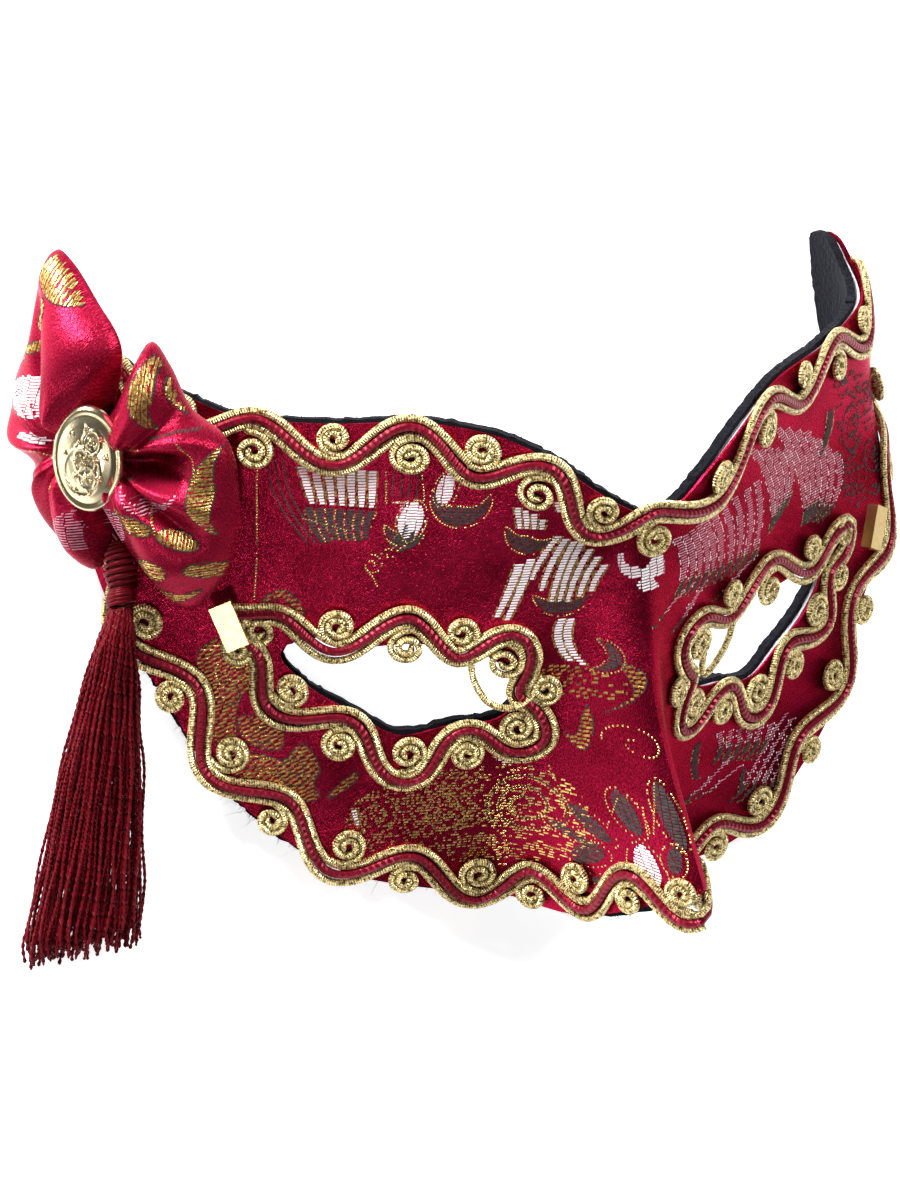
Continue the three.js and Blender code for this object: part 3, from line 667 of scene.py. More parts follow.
BLACK_LINES = [
    [(shift - 71.5, 32), (shift - 70, 26), (shift - 67, 21), (shift - 63, 16.5)]
    for shift in (0, 1.5, 3)]
BLACK_LINES += [[(shift - 48, 31), (shift - 48, 26)] for shift in (0, 1.5, 3, 4.5)]
# The short column that carries another on past its foot: way on, way aside and width
TIP_STATIONS = [(-0.8, 0.9, 0.8), (0.6, 0.2, 2), (2, -0.5, 2), (3.4, -2.4, 0.8)]


def fan(motif):
    """A fan's columns, each as girth, height and width from its top down."""
    tops, feet, bow, count, width = motif
    t = np.linspace(0, 1, 6)[:, None]
    columns = []
    for share in np.linspace(0, 1, count):
        top, foot = (read_off(share, np.linspace(0, 1, len(row)), row) for row in (tops, feet))
        path = top * (1 - t) + foot * t + np.array([bow, 0]) * 4 * t * (1 - t)
        columns.append(np.hstack([path, width * (1 - 0.35 * t ** 3)]))
    return columns


def fan_tip(column):
    foot = column[-1, :2]
    way = unit(foot - column[-2, :2])
    return [(*(foot + way * reach + [aside, 0]), width) for reach, aside, width in TIP_STATIONS]


def polar(angle, radius=1.0):
    return np.stack([radius * np.cos(angle), radius * np.sin(angle)], -1)


def hook(x, y, radius, thickness, start, stop, margin=0.0):
    t = np.linspace(0, 1, 9)
    way = polar(np.radians(start + (stop - start) * t))
    inner = radius - margin - thickness * np.sin(np.pi * t)
    return (x, y) + np.concatenate([way * (radius + margin), (way * inner[:, None])[-2:0:-1]])


def leaf(x, y, length, width, lean, margin=0.0):
    t = np.radians(np.arange(0, 360, 36))
    along = (length / 2 + margin) * np.cos(t)
    across = (width / 2 + margin) * np.sin(t)
    way = polar(math.radians(lean))
    return (x, y) + along[:, None] * way + across[:, None] * [-way[1], way[0]]


def curl(x, y, inner, outer, turns, start):
    t = np.linspace(0, 1, CURL_STATIONS)
    return (x, y) + polar(np.radians(start) + 2 * np.pi * turns * t, inner + (outer - inner) * t)


def rimmed(loop, keep=0.8, stretch=face_stretch):
    """Dots all round a loop."""
    return dotted(closed(closed_curve(loop, RIM_STATIONS)), keep, stretch)


def many(make, shapes, **values):
    return [one for shape in shapes for one in make(shape, **values)]


def drawn(make, motifs, **values):
    return [make(*motif, **values) for motif in motifs]


def onto_cover(s, y, height):
    return lay_down(on_face(s, y, height + cloth_rise(s, y) + COVER_FLOAT_LIFT))


silver_columns, rose_columns, black_columns = (
    many(fan, fans) for fans in (SILVER_FANS, ROSE_FANS, BLACK_FANS))
black_columns_and_tips = black_columns + [fan_tip(column) for column in rose_columns]
black_shapes = drawn(hook, BLACK_HOOKS) + drawn(leaf, BLACK_LEAVES)
rims = drawn(hook, BLACK_HOOKS, margin=0.4) + drawn(leaf, SILVER_LEAVES + BLACK_LEAVES, margin=0.5)
woven = {
    "silver": many(column_floats, silver_columns)
    + many(filled_floats, [SILVER_SPRIG, *drawn(leaf, SILVER_LEAVES)])
    + many(column_edges, rose_columns, keep=0.4),
    "rose": many(column_floats, rose_columns, gap=0.3),
    "black": many(column_floats, black_columns_and_tips) + many(filled_floats, black_shapes, length=1.5)
    + many(dotted, BLACK_LINES + drawn(curl, BLACK_CURLS)) + many(rimmed, OLIVE_CLOUDS)
    + filled_floats(BLACK_LACE, share=0.3),
    "olive": many(filled_floats, OLIVE_CLOUDS, length=1.7, brick=True, pitch=CLOUD_ROW)
    + many(filled_floats, OLIVE_WISPS, share=0.7, length=1.5, pitch=CLOUD_ROW)
    + many(column_edges, silver_columns),
    "gold": many(filled_floats, GOLD_FIELDS, share=0.45, length=1)
    + many(filled_floats, OLIVE_CLOUDS, share=0.2, length=1.2, pitch=CLOUD_ROW)
    + many(dotted, GOLD_LINES + drawn(curl, GOLD_CURLS), keep=0.85)
    + many(rimmed, rims) + many(column_edges, black_columns_and_tips, keep=0.5)}
for name, floats in woven.items():
    floats = np.array(floats)
    middle = (floats[:, :2] + floats[:, 2:]) / 2
    kept = inside(outline, middle) & ~inside(eye_holes[0], middle) & ~inside(eye_holes[1], middle)
    slant = CLOUD_SLANT if name == "olive" else SLANT
    new_piece(f"{name}_floats", float_mesh(floats[kept], onto_cover, THREAD_WIDTH[name], slant),
              threads[name], sharp=80)

# The moulded shell: a vacuum-formed half face of white plastic between the brocade and the felt,
# which shows as a thin pale line along the cut edges.
SHELL_TOP = -0.5
SHELL_THICKNESS = 0.75
SHELL_FRINGE = -0.6
SHELL_STEP = 2.0


def speckled(name, first, second, scale, detail=2.0, uv_map=None, **values):
    """A material between two colours, spread by a fine noise."""
    material, tree, shader = new_material(name, **values)
    place = (add(tree, "UVMap", uv_map=uv_map).outputs[0] if uv_map
             else add(tree, "TexCoord").outputs["Object"])
    spread = noise(tree, place, scale, detail)
    set_inputs(tree, shader, {"Base Color": mix_colours(tree, spread, first, second)})
    return material, tree, shader, spread


shell_plastic = speckled("shell_plastic", (0.72, 0.70, 0.78, 1), (0.9, 0.88, 0.93, 1), 60.0,
                         Roughness=0.45, Subsurface_Weight=0.1)[0]
new_piece("white_shell", face_sheet(SHELL_TOP, SHELL_THICKNESS, SHELL_FRINGE, step=SHELL_STEP),
          shell_plastic, "moulded_shell")

# The felt lining: black pressed felt glued inside the shell and cut a little proud of it,
# with a nap of loose fibres along every cut edge.
FELT_TOP = -1.3
FELT_THICKNESS = 1.75
FELT_FRINGE = 0.5
FELT_RAGGED = 0.12
felt_nap, felt_tree, felt_shader, felt_noise = speckled(
    "felt_nap", (0.001, 0.001, 0.002, 1), (0.010, 0.010, 0.014, 1), 900.0, 4.0, Roughness=1.0,
    Specular_IOR_Level=0.1, Sheen_Weight=0.06, Sheen_Roughness=0.6, Sheen_Tint=(0.4, 0.42, 0.5, 1))
set_inputs(felt_tree, felt_shader, {"Normal": bumped(felt_tree, felt_noise, 0.9, 0.0006)})
new_piece("black_felt", face_sheet(FELT_TOP, FELT_THICKNESS, FELT_FRINGE, ragged=FELT_RAGGED), felt_nap,
          "felt_lining")
FIBRES = 3600
FIBRE_WIDTH = 0.09
FIBRE_STRAY = 0.7
FIBRE_LENGTH = (2.2, 0.3)
FIBRE_RISE = 0.35
FIBRE_BEND = 0.25
# Each nap: the edge it grows on, the side it grows to and its share of the fibres
felt_edges = [(moved_loop(outline, FELT_FRINGE), 1, 0.64), (eye_holes[0], -1, 0.18),
              (eye_holes[1], 1, 0.18)]
roots, tips = [], []
for loop, way, share in felt_edges:
    number = round(FIBRES * share)
    picked = random.uniform(0, len(loop) - 1, number)
    steps = np.arange(len(loop))
    root = read_off(picked, steps, loop)
    lean = read_off(picked, steps, moved_loop(loop, way) - loop)
    lean = lean + random.normal(0, FIBRE_STRAY, (number, 2))
    length = random.gamma(*FIBRE_LENGTH, number)[:, None]
    depth = FELT_TOP - random.uniform(0, FELT_THICKNESS, number)
    tip = root + lean * length
    roots.append(on_face(root[:, 0], root[:, 1], depth))
    tips.append(on_face(tip[:, 0], tip[:, 1], depth + random.normal(0, FIBRE_RISE, number)))
roots, tips = np.concatenate(roots), np.concatenate(tips)
fibre_sides = unit(np.cross(tips - roots, random.normal(0, 1, roots.shape)))
fibre_bends = random.normal(0, FIBRE_BEND, roots.shape)


def above_table(placed):
    placed[:, 2] = np.maximum(placed[:, 2], 0)
    return placed


def onto_fibres(s, y, height):
    """Fibres are numbered every 3 along s, and each is 1 long there."""
    number = np.floor(s / 3 + 0.01).astype(int)
    share = (s - 3 * number)[:, None]
    thin = np.clip(1.1 - share, 0.2, 1) * y[:, None]
    placed = lay_down(roots[number] + (tips[number] - roots[number]) * share
                      + fibre_bends[number] * share * (1 - share) + fibre_sides[number] * thin)
    return above_table(placed)


fibres = [(3 * i, 0, 3 * i + 1, 0) for i in range(len(roots))]
new_piece("felt_fibres", float_mesh(fibres, onto_fibres, FIBRE_WIDTH, slant=0), felt_nap)

# Scroll gimp along the whole edge: a burgundy satin cord waves along it, a cord wound with gold
# yarn hugs each side of it, and gold cord rolled into a scroll fills each hollow of the wave.
SATIN_RADIUS = 0.86
GOLD_RADIUS = 0.76
GOLD_BESIDE = 1.6
SATIN_LIFT = 1.35
GOLD_LIFT = 1.0
WAVE_HEIGHT = 3.9
WAVE_STEPS = 26
TIP_CALM = 11
SCROLL_OFFSET = 2.2
SCROLL_OUTER = 3.9
SCROLL_INNER = 0.6
SCROLL_TURNS = 2.1
SCROLL_RADIUS = 0.7
SCROLL_STEPS = 64
SCROLL_TUCK = 0.87
SCROLL_SHIFT = (0.02, 0.2)
SCROLL_TURN_SPREAD = 0.3
SCROLL_SQUASH = (0.82, 1)
SCROLL_SIZES = (-0.45, 0.25)
SCROLL_TAIL = 0.9
SCROLL_ARCH = 0.25
SCROLL_PEAK = 0.3
CORD_WANDER = 0.14
LOOSE_RISE = 0.8
EDGE_INSET = {"brow": 4, "cheek": 2.6, "temple": 7}
EDGE_CRESTS = [0.124, 0.175, 0.226, 0.276, 0.327, 0.378, 0.436, 0.497, 0.537, 0.577, 0.624, 0.673,
               0.722, 0.771, 0.82, 0.868, 0.914, 0.953, 0.996, 1.039, 1.081]
ROUTE_STATIONS = 1440
EDGE_STATIONS = 152
LOOSE_STATIONS = 60
CORD_SIDES = 8
CORD_END = 1e-4
CORD_SEAM = 2e-7


def tube(bm, path, radius, looped=False, sides=CORD_SIDES, twist=0.0, flat=1.0, phase=0.0):
    """A cord along a path in millimetres: a grid of rings and sides rolled round it.
    Its UV map has the length in millimetres along and the turn, from 0 to 1, around."""
    path = np.asarray(path, float)
    if looped:
        ahead = unit(closed(np.roll(path, -1, 0) - np.roll(path, 1, 0)))
        path = closed(path)
    else:
        ahead = unit(np.gradient(path, axis=0))
    count = len(path)
    lengths = way_along(path)
    side = np.cross(ahead, [0.0, 0.0, 1.0])
    side = unit(np.where(np.linalg.norm(side, axis=1)[:, None] < 1e-6, [1.0, 0.0, 0.0], side))
    other = np.cross(side, ahead)
    thick = np.broadcast_to(radius, (count,)).copy()
    if not looped:
        thick[[0, -1]] = CORD_END
    verts, u, turn = new_grid(bm, count - 1, sides)
    ring = np.rint(u * (count - 1)).astype(int)
    angle = 2 * np.pi * turn
    swing = phase + twist * lengths[ring]
    oval_x, oval_y = np.cos(angle), np.sin(angle) * flat
    wide = oval_x * np.cos(swing) - oval_y * np.sin(swing)
    high = oval_x * np.sin(swing) + oval_y * np.cos(swing)
    placed = path[ring] + thick[ring, None] * (side[ring] * wide[:, None] + other[ring] * high[:, None])
    settle(bm, verts, above_table(lay_down(placed)), "cord", np.stack([lengths[ring], turn], -1))


def new_cords():
    bm = bmesh.new()
    bm.loops.layers.uv.new("cord")
    return bm


def merge_seams(bm, reach):
    """Closes the seams and poles of rolled-up grids."""
    bmesh.ops.remove_doubles(bm, verts=bm.verts, dist=reach)
    bmesh.ops.recalc_face_normals(bm, faces=bm.faces)
    return bm


class Braid:
    """A gimp's route over the face, with its waves counted from its first outer crest."""

    def __init__(self, loop, crests, tip=None):
        self.places = closed(closed_curve(loop, ROUTE_STATIONS))
        self.lengths = way_along(face_point(self.places[:, 0], self.places[:, 1]))
        self.crests = np.array(crests)
        self.tip = tip

    def part_at(self, wave):
        whole = np.floor(wave).astype(int)
        here, ahead = (self.crests[one % len(self.crests)] + one // len(self.crests)
                       for one in (whole, whole + 1))
        return here + (ahead - here) * (wave - whole)

    def place(self, part, across, height):
        """Points beside the route at a height over the face, with forward, outward and normal."""
        total = self.lengths[-1]
        goal = (part % 1) * total
        s, y = read_off(goal, self.lengths, self.places).T
        ahead = read_off((goal + 0.5) % total, self.lengths, self.places).T
        along, up, normal = face_frame(s, y)
        forward = unit(along * (ahead[0] - s)[:, None] + up * (ahead[1] - y)[:, None])
        outward = np.cross(forward, normal)
        beside = step_on_face(s, y, outward * across[:, None])
        return on_face(*beside, height), forward, outward, normal

    def swing_at(self, wave):
        swing = WAVE_HEIGHT * np.cos(2 * np.pi * wave)
        if self.tip is None:
            return swing
        away = np.abs((self.part_at(wave) - self.tip + 1.5) % 1 - 0.5) * self.lengths[-1]
        return swing * (1 - np.exp(-(away / TIP_CALM) ** 2))

    def satin_path(self):
        steps = len(self.crests) * WAVE_STEPS
        wave = np.arange(steps) / WAVE_STEPS
        points, _, _, normal = self.place(self.part_at(wave), self.swing_at(wave),
                                          np.full(steps, SATIN_LIFT))
        return points, normal


def step_on_face(s, y, direction):
    """The girth and height reached by going a real distance along the face."""
    along, up, _ = face_frame(s, y)
    aa, au, uu = (along * along).sum(-1), (along * up).sum(-1), (up * up).sum(-1)
    da, du = (along * direction).sum(-1), (up * direction).sum(-1)
    det = aa * uu - au * au
    return s + (uu * da - au * du) / det, y + (aa * du - au * da) / det


def loose_cord(bm, places):
    """A stretch of gold cord that has come off the braid and arcs over the face."""
    even = read_off(np.linspace(0, len(places) - 1, LOOSE_STATIONS), np.arange(len(places)), places)
    for _ in range(30):
        even[1:-1] = (even[:-2] + 2 * even[1:-1] + even[2:]) / 4
    height = GOLD_LIFT + LOOSE_RISE * np.sin(np.linspace(0, np.pi, len(even)))
    tube(bm, on_face(even[:, 0], even[:, 1], height), SCROLL_RADIUS)


def scroll(braid, number):
    """One rolled-up scroll in a hollow of the wave, on its outward side if its number is odd."""
    side = 1 if number % 2 else -1
    slip, shift = SCROLL_SHIFT
    part = braid.part_at(np.array([number / 2 + random.uniform(-slip, slip)]))
    tuck = SCROLL_TUCK if side == 1 else 1
    offset = side * SCROLL_OFFSET * tuck ** 3 + random.uniform(-shift, shift)
    centre, ahead, out, up = (v[0] for v in braid.place(part, np.array([offset]),
                                                        np.array([GOLD_LIFT])))
    turns = SCROLL_TURNS + random.uniform(-SCROLL_TURN_SPREAD, SCROLL_TURN_SPREAD)
    squash = random.uniform(*SCROLL_SQUASH)
    t = np.linspace(0, 1, SCROLL_STEPS)
    radius = tuck * (SCROLL_OUTER + random.uniform(*SCROLL_SIZES)) * (1 - t) + SCROLL_INNER * t
    radius = radius + SCROLL_TAIL * np.clip(1 - t * 7, 0, 1) ** 2
    angle = random.choice([-1, 1]) * (2 * np.pi * turns * t - 0.6) - side * np.pi / 2
    lift = SCROLL_ARCH * np.sin(np.pi * t) + SCROLL_PEAK * t
    return (centre + ahead * (radius * np.cos(angle))[:, None]
            + out * (squash * radius * np.sin(angle))[:, None] + up * lift[:, None])


def gold_cords(braid, loose=()):
    """The two side cords and the scrolls of a gimp."""
    bm = new_cords()
    if len(loose):
        loose_cord(bm, loose)
    points, normal = braid.satin_path()
    outward = np.cross(unit(np.roll(points, -1, 0) - np.roll(points, 1, 0)), normal)
    along = np.arange(len(points))
    for side in (-1, 1):
        wander = CORD_WANDER * (np.sin(along * 0.37 + side) + np.sin(along * 0.11 + 2 * side))
        path = (points + outward * (side * GOLD_BESIDE + wander)[:, None]
                + normal * (GOLD_LIFT - SATIN_LIFT))
        tube(bm, path, GOLD_RADIUS, looped=True)
    for number in range(2 * len(braid.crests)):
        tube(bm, scroll(braid, number), SCROLL_RADIUS)
    return merge_seams(bm, CORD_SEAM)


def satin_cord(braid):
    bm = new_cords()
    tube(bm, braid.satin_path()[0], SATIN_RADIUS, looped=True)
    return merge_seams(bm, CORD_SEAM)


# Yarn wound round a cord: slanting wraps in relief, with light and dark turns
wound_yarn, yarn_in, yarn_out = new_group(
    "wound_yarn", [("Place", "Vector"), ("Pitch", "Float"), ("Speckle", "Float")],
    [("Height", "Float"), ("Tone", "Float")])
yarn_parts = add(wound_yarn, "SeparateXYZ", {0: yarn_in["Place"]}).outputs
yarn_along = worked(wound_yarn, "DIVIDE", yarn_parts[0], yarn_in["Pitch"])
yarn_around = worked(wound_yarn, "ADD", yarn_parts[1], yarn_along)
yarn_ridge = worked(wound_yarn, "SINE", worked(wound_yarn, "MULTIPLY", yarn_around, 2 * math.pi))
yarn_spread = stretched(wound_yarn, yarn_in["Place"], (1, 5, 1))
yarn_speckle = noise(wound_yarn, yarn_spread, yarn_in["Speckle"])
set_inputs(wound_yarn, yarn_out, {
    "Height": worked(wound_yarn, "MULTIPLY_ADD", yarn_ridge, 0.5, yarn_speckle),
    "Tone": worked(wound_yarn, "MULTIPLY_ADD", yarn_ridge, 0.06, yarn_speckle)})


def wound_material(name, pitch, speckle, tones, dark, light, strength, **values):
    """A cord's yarn, with its pitch in millimetres and the tones that its two colours stand for."""
    material, tree, shader, wound = grouped_material(
        name, "cord", wound_yarn, {"Pitch": pitch, "Speckle": speckle}, **values)
    set_inputs(tree, shader, {
        "Base Color": mix_colours(tree, ranged(tree, wound["Tone"], *tones), dark, light),
        "Normal": bumped(tree, wound["Height"], strength, 0.0003)})
    return material


gold_yarn = wound_material("gold_yarn", 0.5, 1.3, (0.36, 0.56), (0.13, 0.06, 0.01, 1),
                           (1.0, 0.82, 0.38, 1), 0.8, Metallic=0.65, Roughness=0.32)
burgundy_satin = wound_material(
    "burgundy_satin", 1.3, 0.6, (0, 1), (0.07, 0.001, 0.006, 1), (0.30, 0.008, 0.028, 1), 0.35,
    Roughness=0.3, Metallic=0.3, Specular_Tint=(1, 0.4, 0.45, 1))


def new_braid(name, braid, loose=()):
    """The gold piece and the burgundy piece of one braid."""
    new_piece(f"{name}_gold_cords", gold_cords(braid, loose), gold_yarn,
              f"{name}_gold_gimp")
    new_piece(f"{name}_burgundy_cord", satin_cord(braid), burgundy_satin,
              f"{name}_satin_cord")


def edge_inset(loop):
    s, y = loop[:, 0], loop[:, 1]
    brow, cheek, temple = EDGE_INSET["brow"], EDGE_INSET["cheek"], EDGE_INSET["temple"]
    front = cheek + (brow - cheek) * smooth_step((y + 10) / 30)
    return front + (temple - front) * smooth_step((np.abs(s) - 100) / 10)


edge_loop = closed_curve(cut_line, EDGE_STATIONS)
edge_loop = moved_loop(edge_loop, -edge_inset(edge_loop)[:, None])
for _ in range(5):
    edge_loop = (np.roll(edge_loop, 1, 0) + 2 * edge_loop + np.roll(edge_loop, -1, 0)) / 4
new_braid("edge", Braid(edge_loop, EDGE_CRESTS))

# The same gimp round each eye, in a drop whose point lies at the outer corner,
# where the two ends of the braid meet.
EYE_BRAID = [[77, 1.5], [62, -0.5], [46, -1.5], [31, -2], [20, -6], [15.5, -15.5], [19, -23.5],
             [30, -25], [41, -28], [53, -22.5], [62, -17], [70, -8.5]]
EYE_CRESTS = {"left": [0.045, 0.24, 0.408, 0.544, 0.68, 0.87],
              "right": [-0.01, 0.22, 0.41, 0.54, 0.7, 0.865]}
EYE_TIPS = {"left": 0.917, "right": 0}
LOOSE_LOOPS = {"left": [(-30, -4.5), (-29.5, -9.5), (-26, -15), (-21, -16.5), (-17, -14), (-16, -9)],
               "right": [(32.5, -4), (31, -10), (26, -14.5), (22, -16.5), (21.5, -13), (23, -8)]}
for side, loop in (("left", mirrored(EYE_BRAID)[::-1]), ("right", EYE_BRAID)):
    new_braid(f"{side}_eye", Braid(loop, EYE_CRESTS[side], EYE_TIPS[side]), LOOSE_LOOPS[side])

# The clips: bent strips of bright brass, pressed over the ends of the braid at the outer corner
# of each eye. Their folded shape is carried over as it is, and only gets its metal.
clip_brass, clip_tree, clip_shader, clip_noise = speckled(
    "clip_brass", (0.55, 0.36, 0.12, 1), (0.82, 0.62, 0.28, 1), 900.0, 3.0, Metallic=1.0, Roughness=0.3)
set_inputs(clip_tree, clip_shader, {"Roughness": ranged(clip_tree, clip_noise, 0, 1, 0.24, 0.42)})
for side in ("left", "right"):
    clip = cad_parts[f"{side}_clip"]
    clip.data.materials.clear()
    clip.data.materials.append(clip_brass)

# The bow: a folded strip of the same brocade, pinched in the middle, with a puff to each side
# that stands off the left temple. Folds run out from the pinch.
BOW_CENTRE = (-92.1, 34.5, -39.8)
BOW_YAW = {"right": 39, "left": 71}
BOW_SHAPES = {
    "left": [[5.5, 20.8], [-1, 28], [-7.6, 34], [-11.7, 35.6], [-14.5, 30], [-16.6, 19],
             [-22, 6.3], [-22.4, -1.8], [-15, -7], [-13.5, -12], [-12, -17.4], [-5, -22.5],
             [0, -24], [3, -17.4], [1.5, -8], [3, 8]],
    "right": [[0.5, 2], [5, 12], [9.9, 21.3], [13.5, 17], [17.6, 9.2], [24.3, 4], [26.8, -5.4],
              [26, -19], [22.5, -26], [18, -30.2], [10.5, -24], [5.3, -17.3], [0.5, -6]]}
BOW_PINCH = {"left": (-3, 0), "right": (3.5, -1)}
BOW_FULLNESS = {"left": 8.5, "right": 9.5}
# Each fold: the way it runs and its width in degrees, its height, and where it starts and ends
BOW_FOLDS = {
    "left": [(84, 17, 4.2, 4, 36), (108, 6, -2.6, 5, 30), (138, 20, 1.6, 6, 22),
             (168, 7, -1.2, 6, 20), (184, 9, 1.4, 5, 20), (205, 8, -1.6, 5, 20),
             (232, 11, 1.6, 5, 20), (256, 7, -1.8, 5, 20), (276, 12, 2.0, 5, 22),
             (60, 7, -1.6, 8, 30)],
    "right": [(64, 15, 2.6, 3, 24), (40, 6, -1.5, 8, 22), (24, 9, 2.4, 4, 22), (8, 6, -1.8, 3, 15),
              (-6, 7, -1.6, 3, 14), (-22, 8, 2.6, 6, 24), (-38, 6, -2.2, 4, 22),
              (-57, 14, 2.8, 5, 26), (-78, 6, -1.6, 5, 24), (85, 7, -1.4, 4, 22)]}
# The hollow beside the button: its middle, half length, half height and depth
BOW_HOLLOW = (11.5, -0.4, 5.2, 2.7, 8.5)
# The gathers round the pinch: their height, number, distance from it and reach
BOW_GATHERS = (0.35, 23, 8, 5)
BOW_FOLD_END = 6
BOW_BACK = 0.3
BOW_AROUND = 150
BOW_RINGS = 64
BOW_UV_SHIFT = {"right": 0, "left": 80}
SOLID_SEAM = 2e-6


def bow_axes(degrees):
    angle = math.radians(degrees)
    return (np.array([math.cos(angle), 0, math.sin(angle)]),
            np.array([-math.sin(angle), 0, math.cos(angle)]))


def bow_place(along, up, out, side):
    direction, front = bow_axes(BOW_YAW[side])
    return (np.array(BOW_CENTRE) + along[:, None] * direction + up[:, None] * [0, 1, 0]
            + out[:, None] * front)


def fold_heights(angle, away, folds):
    total = np.zeros(len(angle))
    for way, width, height, start, end in folds:
        off = (angle - math.radians(way) + np.pi) % (2 * np.pi) - np.pi
        begun, ended = (smooth_step((away - at) / BOW_FOLD_END + 0.5) for at in (start, end))
        total += height * np.exp(-(off / math.radians(width)) ** 2) * (begun * (1 - ended))
    height, count, ring, reach = BOW_GATHERS
    return total + height * np.cos(count * angle) * np.exp(-((away - ring) / reach) ** 2)


def puff(bm, side):
    """One half of the bow: rings drawn in from its outline to the pinch, in front and behind."""
    pinch = np.array(BOW_PINCH[side], float)
    verts, u, v = new_grid(bm, BOW_AROUND, BOW_RINGS)
    edge = closed(closed_curve(BOW_SHAPES[side], BOW_AROUND))
    place = read_off(u * BOW_AROUND, np.arange(BOW_AROUND + 1), edge)
    reach = np.sin(np.pi * v) ** 0.75
    flat = pinch + (place - pinch) * reach[:, None]
    angle = np.arctan2(place[:, 1] - pinch[1], place[:, 0] - pinch[0])
    away = np.linalg.norm(flat - pinch, axis=1)
    dome = BOW_FULLNESS[side] * np.sqrt(np.clip(1 - reach ** 2.6, 0, 1))
    dome *= smooth_step(0.3 + away / 9)
    ripple = fold_heights(angle, away, BOW_FOLDS[side]) * (1 - reach ** 5)
    if side == "right":
        x, y, long, high, deep = BOW_HOLLOW
        ripple -= deep * np.exp(-((flat[:, 0] - x) / long) ** 2 - ((flat[:, 1] - y) / high) ** 2)
    out = np.where(v < 0.5, dome + ripple, -dome * BOW_BACK)
    placed = lay_down(bow_place(flat[:, 0], flat[:, 1], out, side))
    settle(bm, verts, placed, "cloth", flat + BOW_UV_SHIFT[side])


bow_bm = bmesh.new()
bow_bm.loops.layers.uv.new("cloth")
for side in BOW_SHAPES:
    puff(bow_bm, side)
merge_seams(bow_bm, SOLID_SEAM)
bow_tree = BVHTree.FromBMesh(bow_bm)
bow_satin = brocade_material("bow_satin", (0.42, 0.010, 0.046, 1), (0.17, 0.003, 0.014, 1), gloss=0.5)
new_piece("brocade_bow", bow_bm, bow_satin, "bow", sharp=80)

# The bow's own stretch of the pattern, woven with the same threads, by way along and height over
# the button on each half. Its cloth was folded on the cross, so some of its floats stand upright.
BOW_UPRIGHT = {
    "left": [leaf(-4, 32, 15, 9, -10), leaf(-9.5, 24.5, 7, 4, 75), leaf(-10.5, 18.3, 7, 2, 25),
             leaf(5.5, 25.4, 3.5, 1.6, -10)],
    "right": [hook(15.5, 13.5, 7.5, 4.2, 100, 250), leaf(16.6, 12.5, 9, 4.4, -55),
              leaf(17.3, -14, 8, 3, -25)]}
BOW_LEVEL = {
    "left": [],
    "right": [hook(28, -5, 9, 4.6, 115, 245), leaf(9, -10.8, 8.5, 3, -20), leaf(12.6, -20, 6, 4, -20),
              leaf(22.3, -20.3, 8, 3.4, -5), hook(15, -19.5, 8, 2.6, 200, 320)]}
BOW_SILVER = {"left": [leaf(-10, 9, 14, 8, 12), leaf(-9.8, 1, 8.5, 1.6, 3)], "right": []}
BOW_ROSE = {"left": [leaf(3.5, -14, 15, 8.5, 20)], "right": [hook(12, -3.5, 5.6, 2.8, 180, 350)]}
BOW_BLACK_LINES = {
    "left": [[(-15, 8.5), (-13, 10)], [(-14.5, 8), (-12, 9.5)], curl(6.7, -12, 2.2, 2.3, 1, 0),
             [(6.5, 18), (8, 21), (9.5, 20)]],
    "right": [[(12, 5), (16.5, 6.5), (20.5, 6.5)], curl(7, -2, 0.6, 2, 1.2, 0)]}
BOW_GOLD_LINES = {
    "left": [[(-9, -1), (-4.5, -2.5), (-3, -6.5), (-6, -14.5)], curl(-10, 9, 7.4, 7.6, 0.3, 120)],
    "right": [[(6, 1.5), (10, 3)], [(17, 4.5), (19.5, 1), (20, -3)], [(13.5, -12.5), (12, -8)]]}
BOW_DROP = 40.0
BOW_DROP_REACH = 0.06
BOW_STEEPEST = 0.25
BOW_FLOAT_LIFT = 0.03


def onto_bow(side, upright=False):
    """Drops points that are given along and up one half of the bow onto its front."""
    front = bow_axes(BOW_YAW[side])[1]

    def drop(a, b, height):
        along, up = (-b, a) if upright else (a, b)
        starts = lay_down(bow_place(along, up, np.full(len(along), BOW_DROP), side))
        way = Vector((front @ PITCH.T).tolist())
        placed = []
        for start, lift in zip(starts, height):
            hit, normal, _, _ = bow_tree.ray_cast(Vector(start), -way, BOW_DROP_REACH)
            if hit is None or normal.dot(way) < BOW_STEEPEST:
                placed.append((0, 0, 0))
            else:
                placed.append(hit + normal * (lift + BOW_FLOAT_LIFT) / 1000)
        return np.array(placed)
    return drop


def on_bow(make, motifs, upright=False, **values):
    """Floats for both halves, with the side they lie on and whether they stand upright."""
    made = []
    for side in ("left", "right"):
        shapes = motifs[side]
        if upright:
            shapes = [[(up, -along) for along, up in shape] for shape in shapes]
        made.append((side, many(make, shapes, stretch=lambda s, y: 1.0, **values), upright))
    return made


def bow_floats(name, made):
    """One piece of floats for both halves."""
    piece_bm = bmesh.new()
    for side, floats, upright in made:
        if not floats:
            continue
        part = float_mesh(floats, onto_bow(side, upright), THREAD_WIDTH[name])
        lost = [v for v in part.verts if v.co.length < 1e-6]
        bmesh.ops.delete(part, geom=lost, context="VERTS")
        mesh = bpy.data.meshes.new("part")
        part.to_mesh(mesh)
        part.free()
        piece_bm.from_mesh(mesh)
        bpy.data.meshes.remove(mesh)
    new_piece(f"bow_{name}_floats", piece_bm, threads[name], sharp=80)


def filled_both(**values):
    return (on_bow(filled_floats, BOW_UPRIGHT, True, brick=True, **values)
            + on_bow(filled_floats, BOW_LEVEL, brick=True, **values))


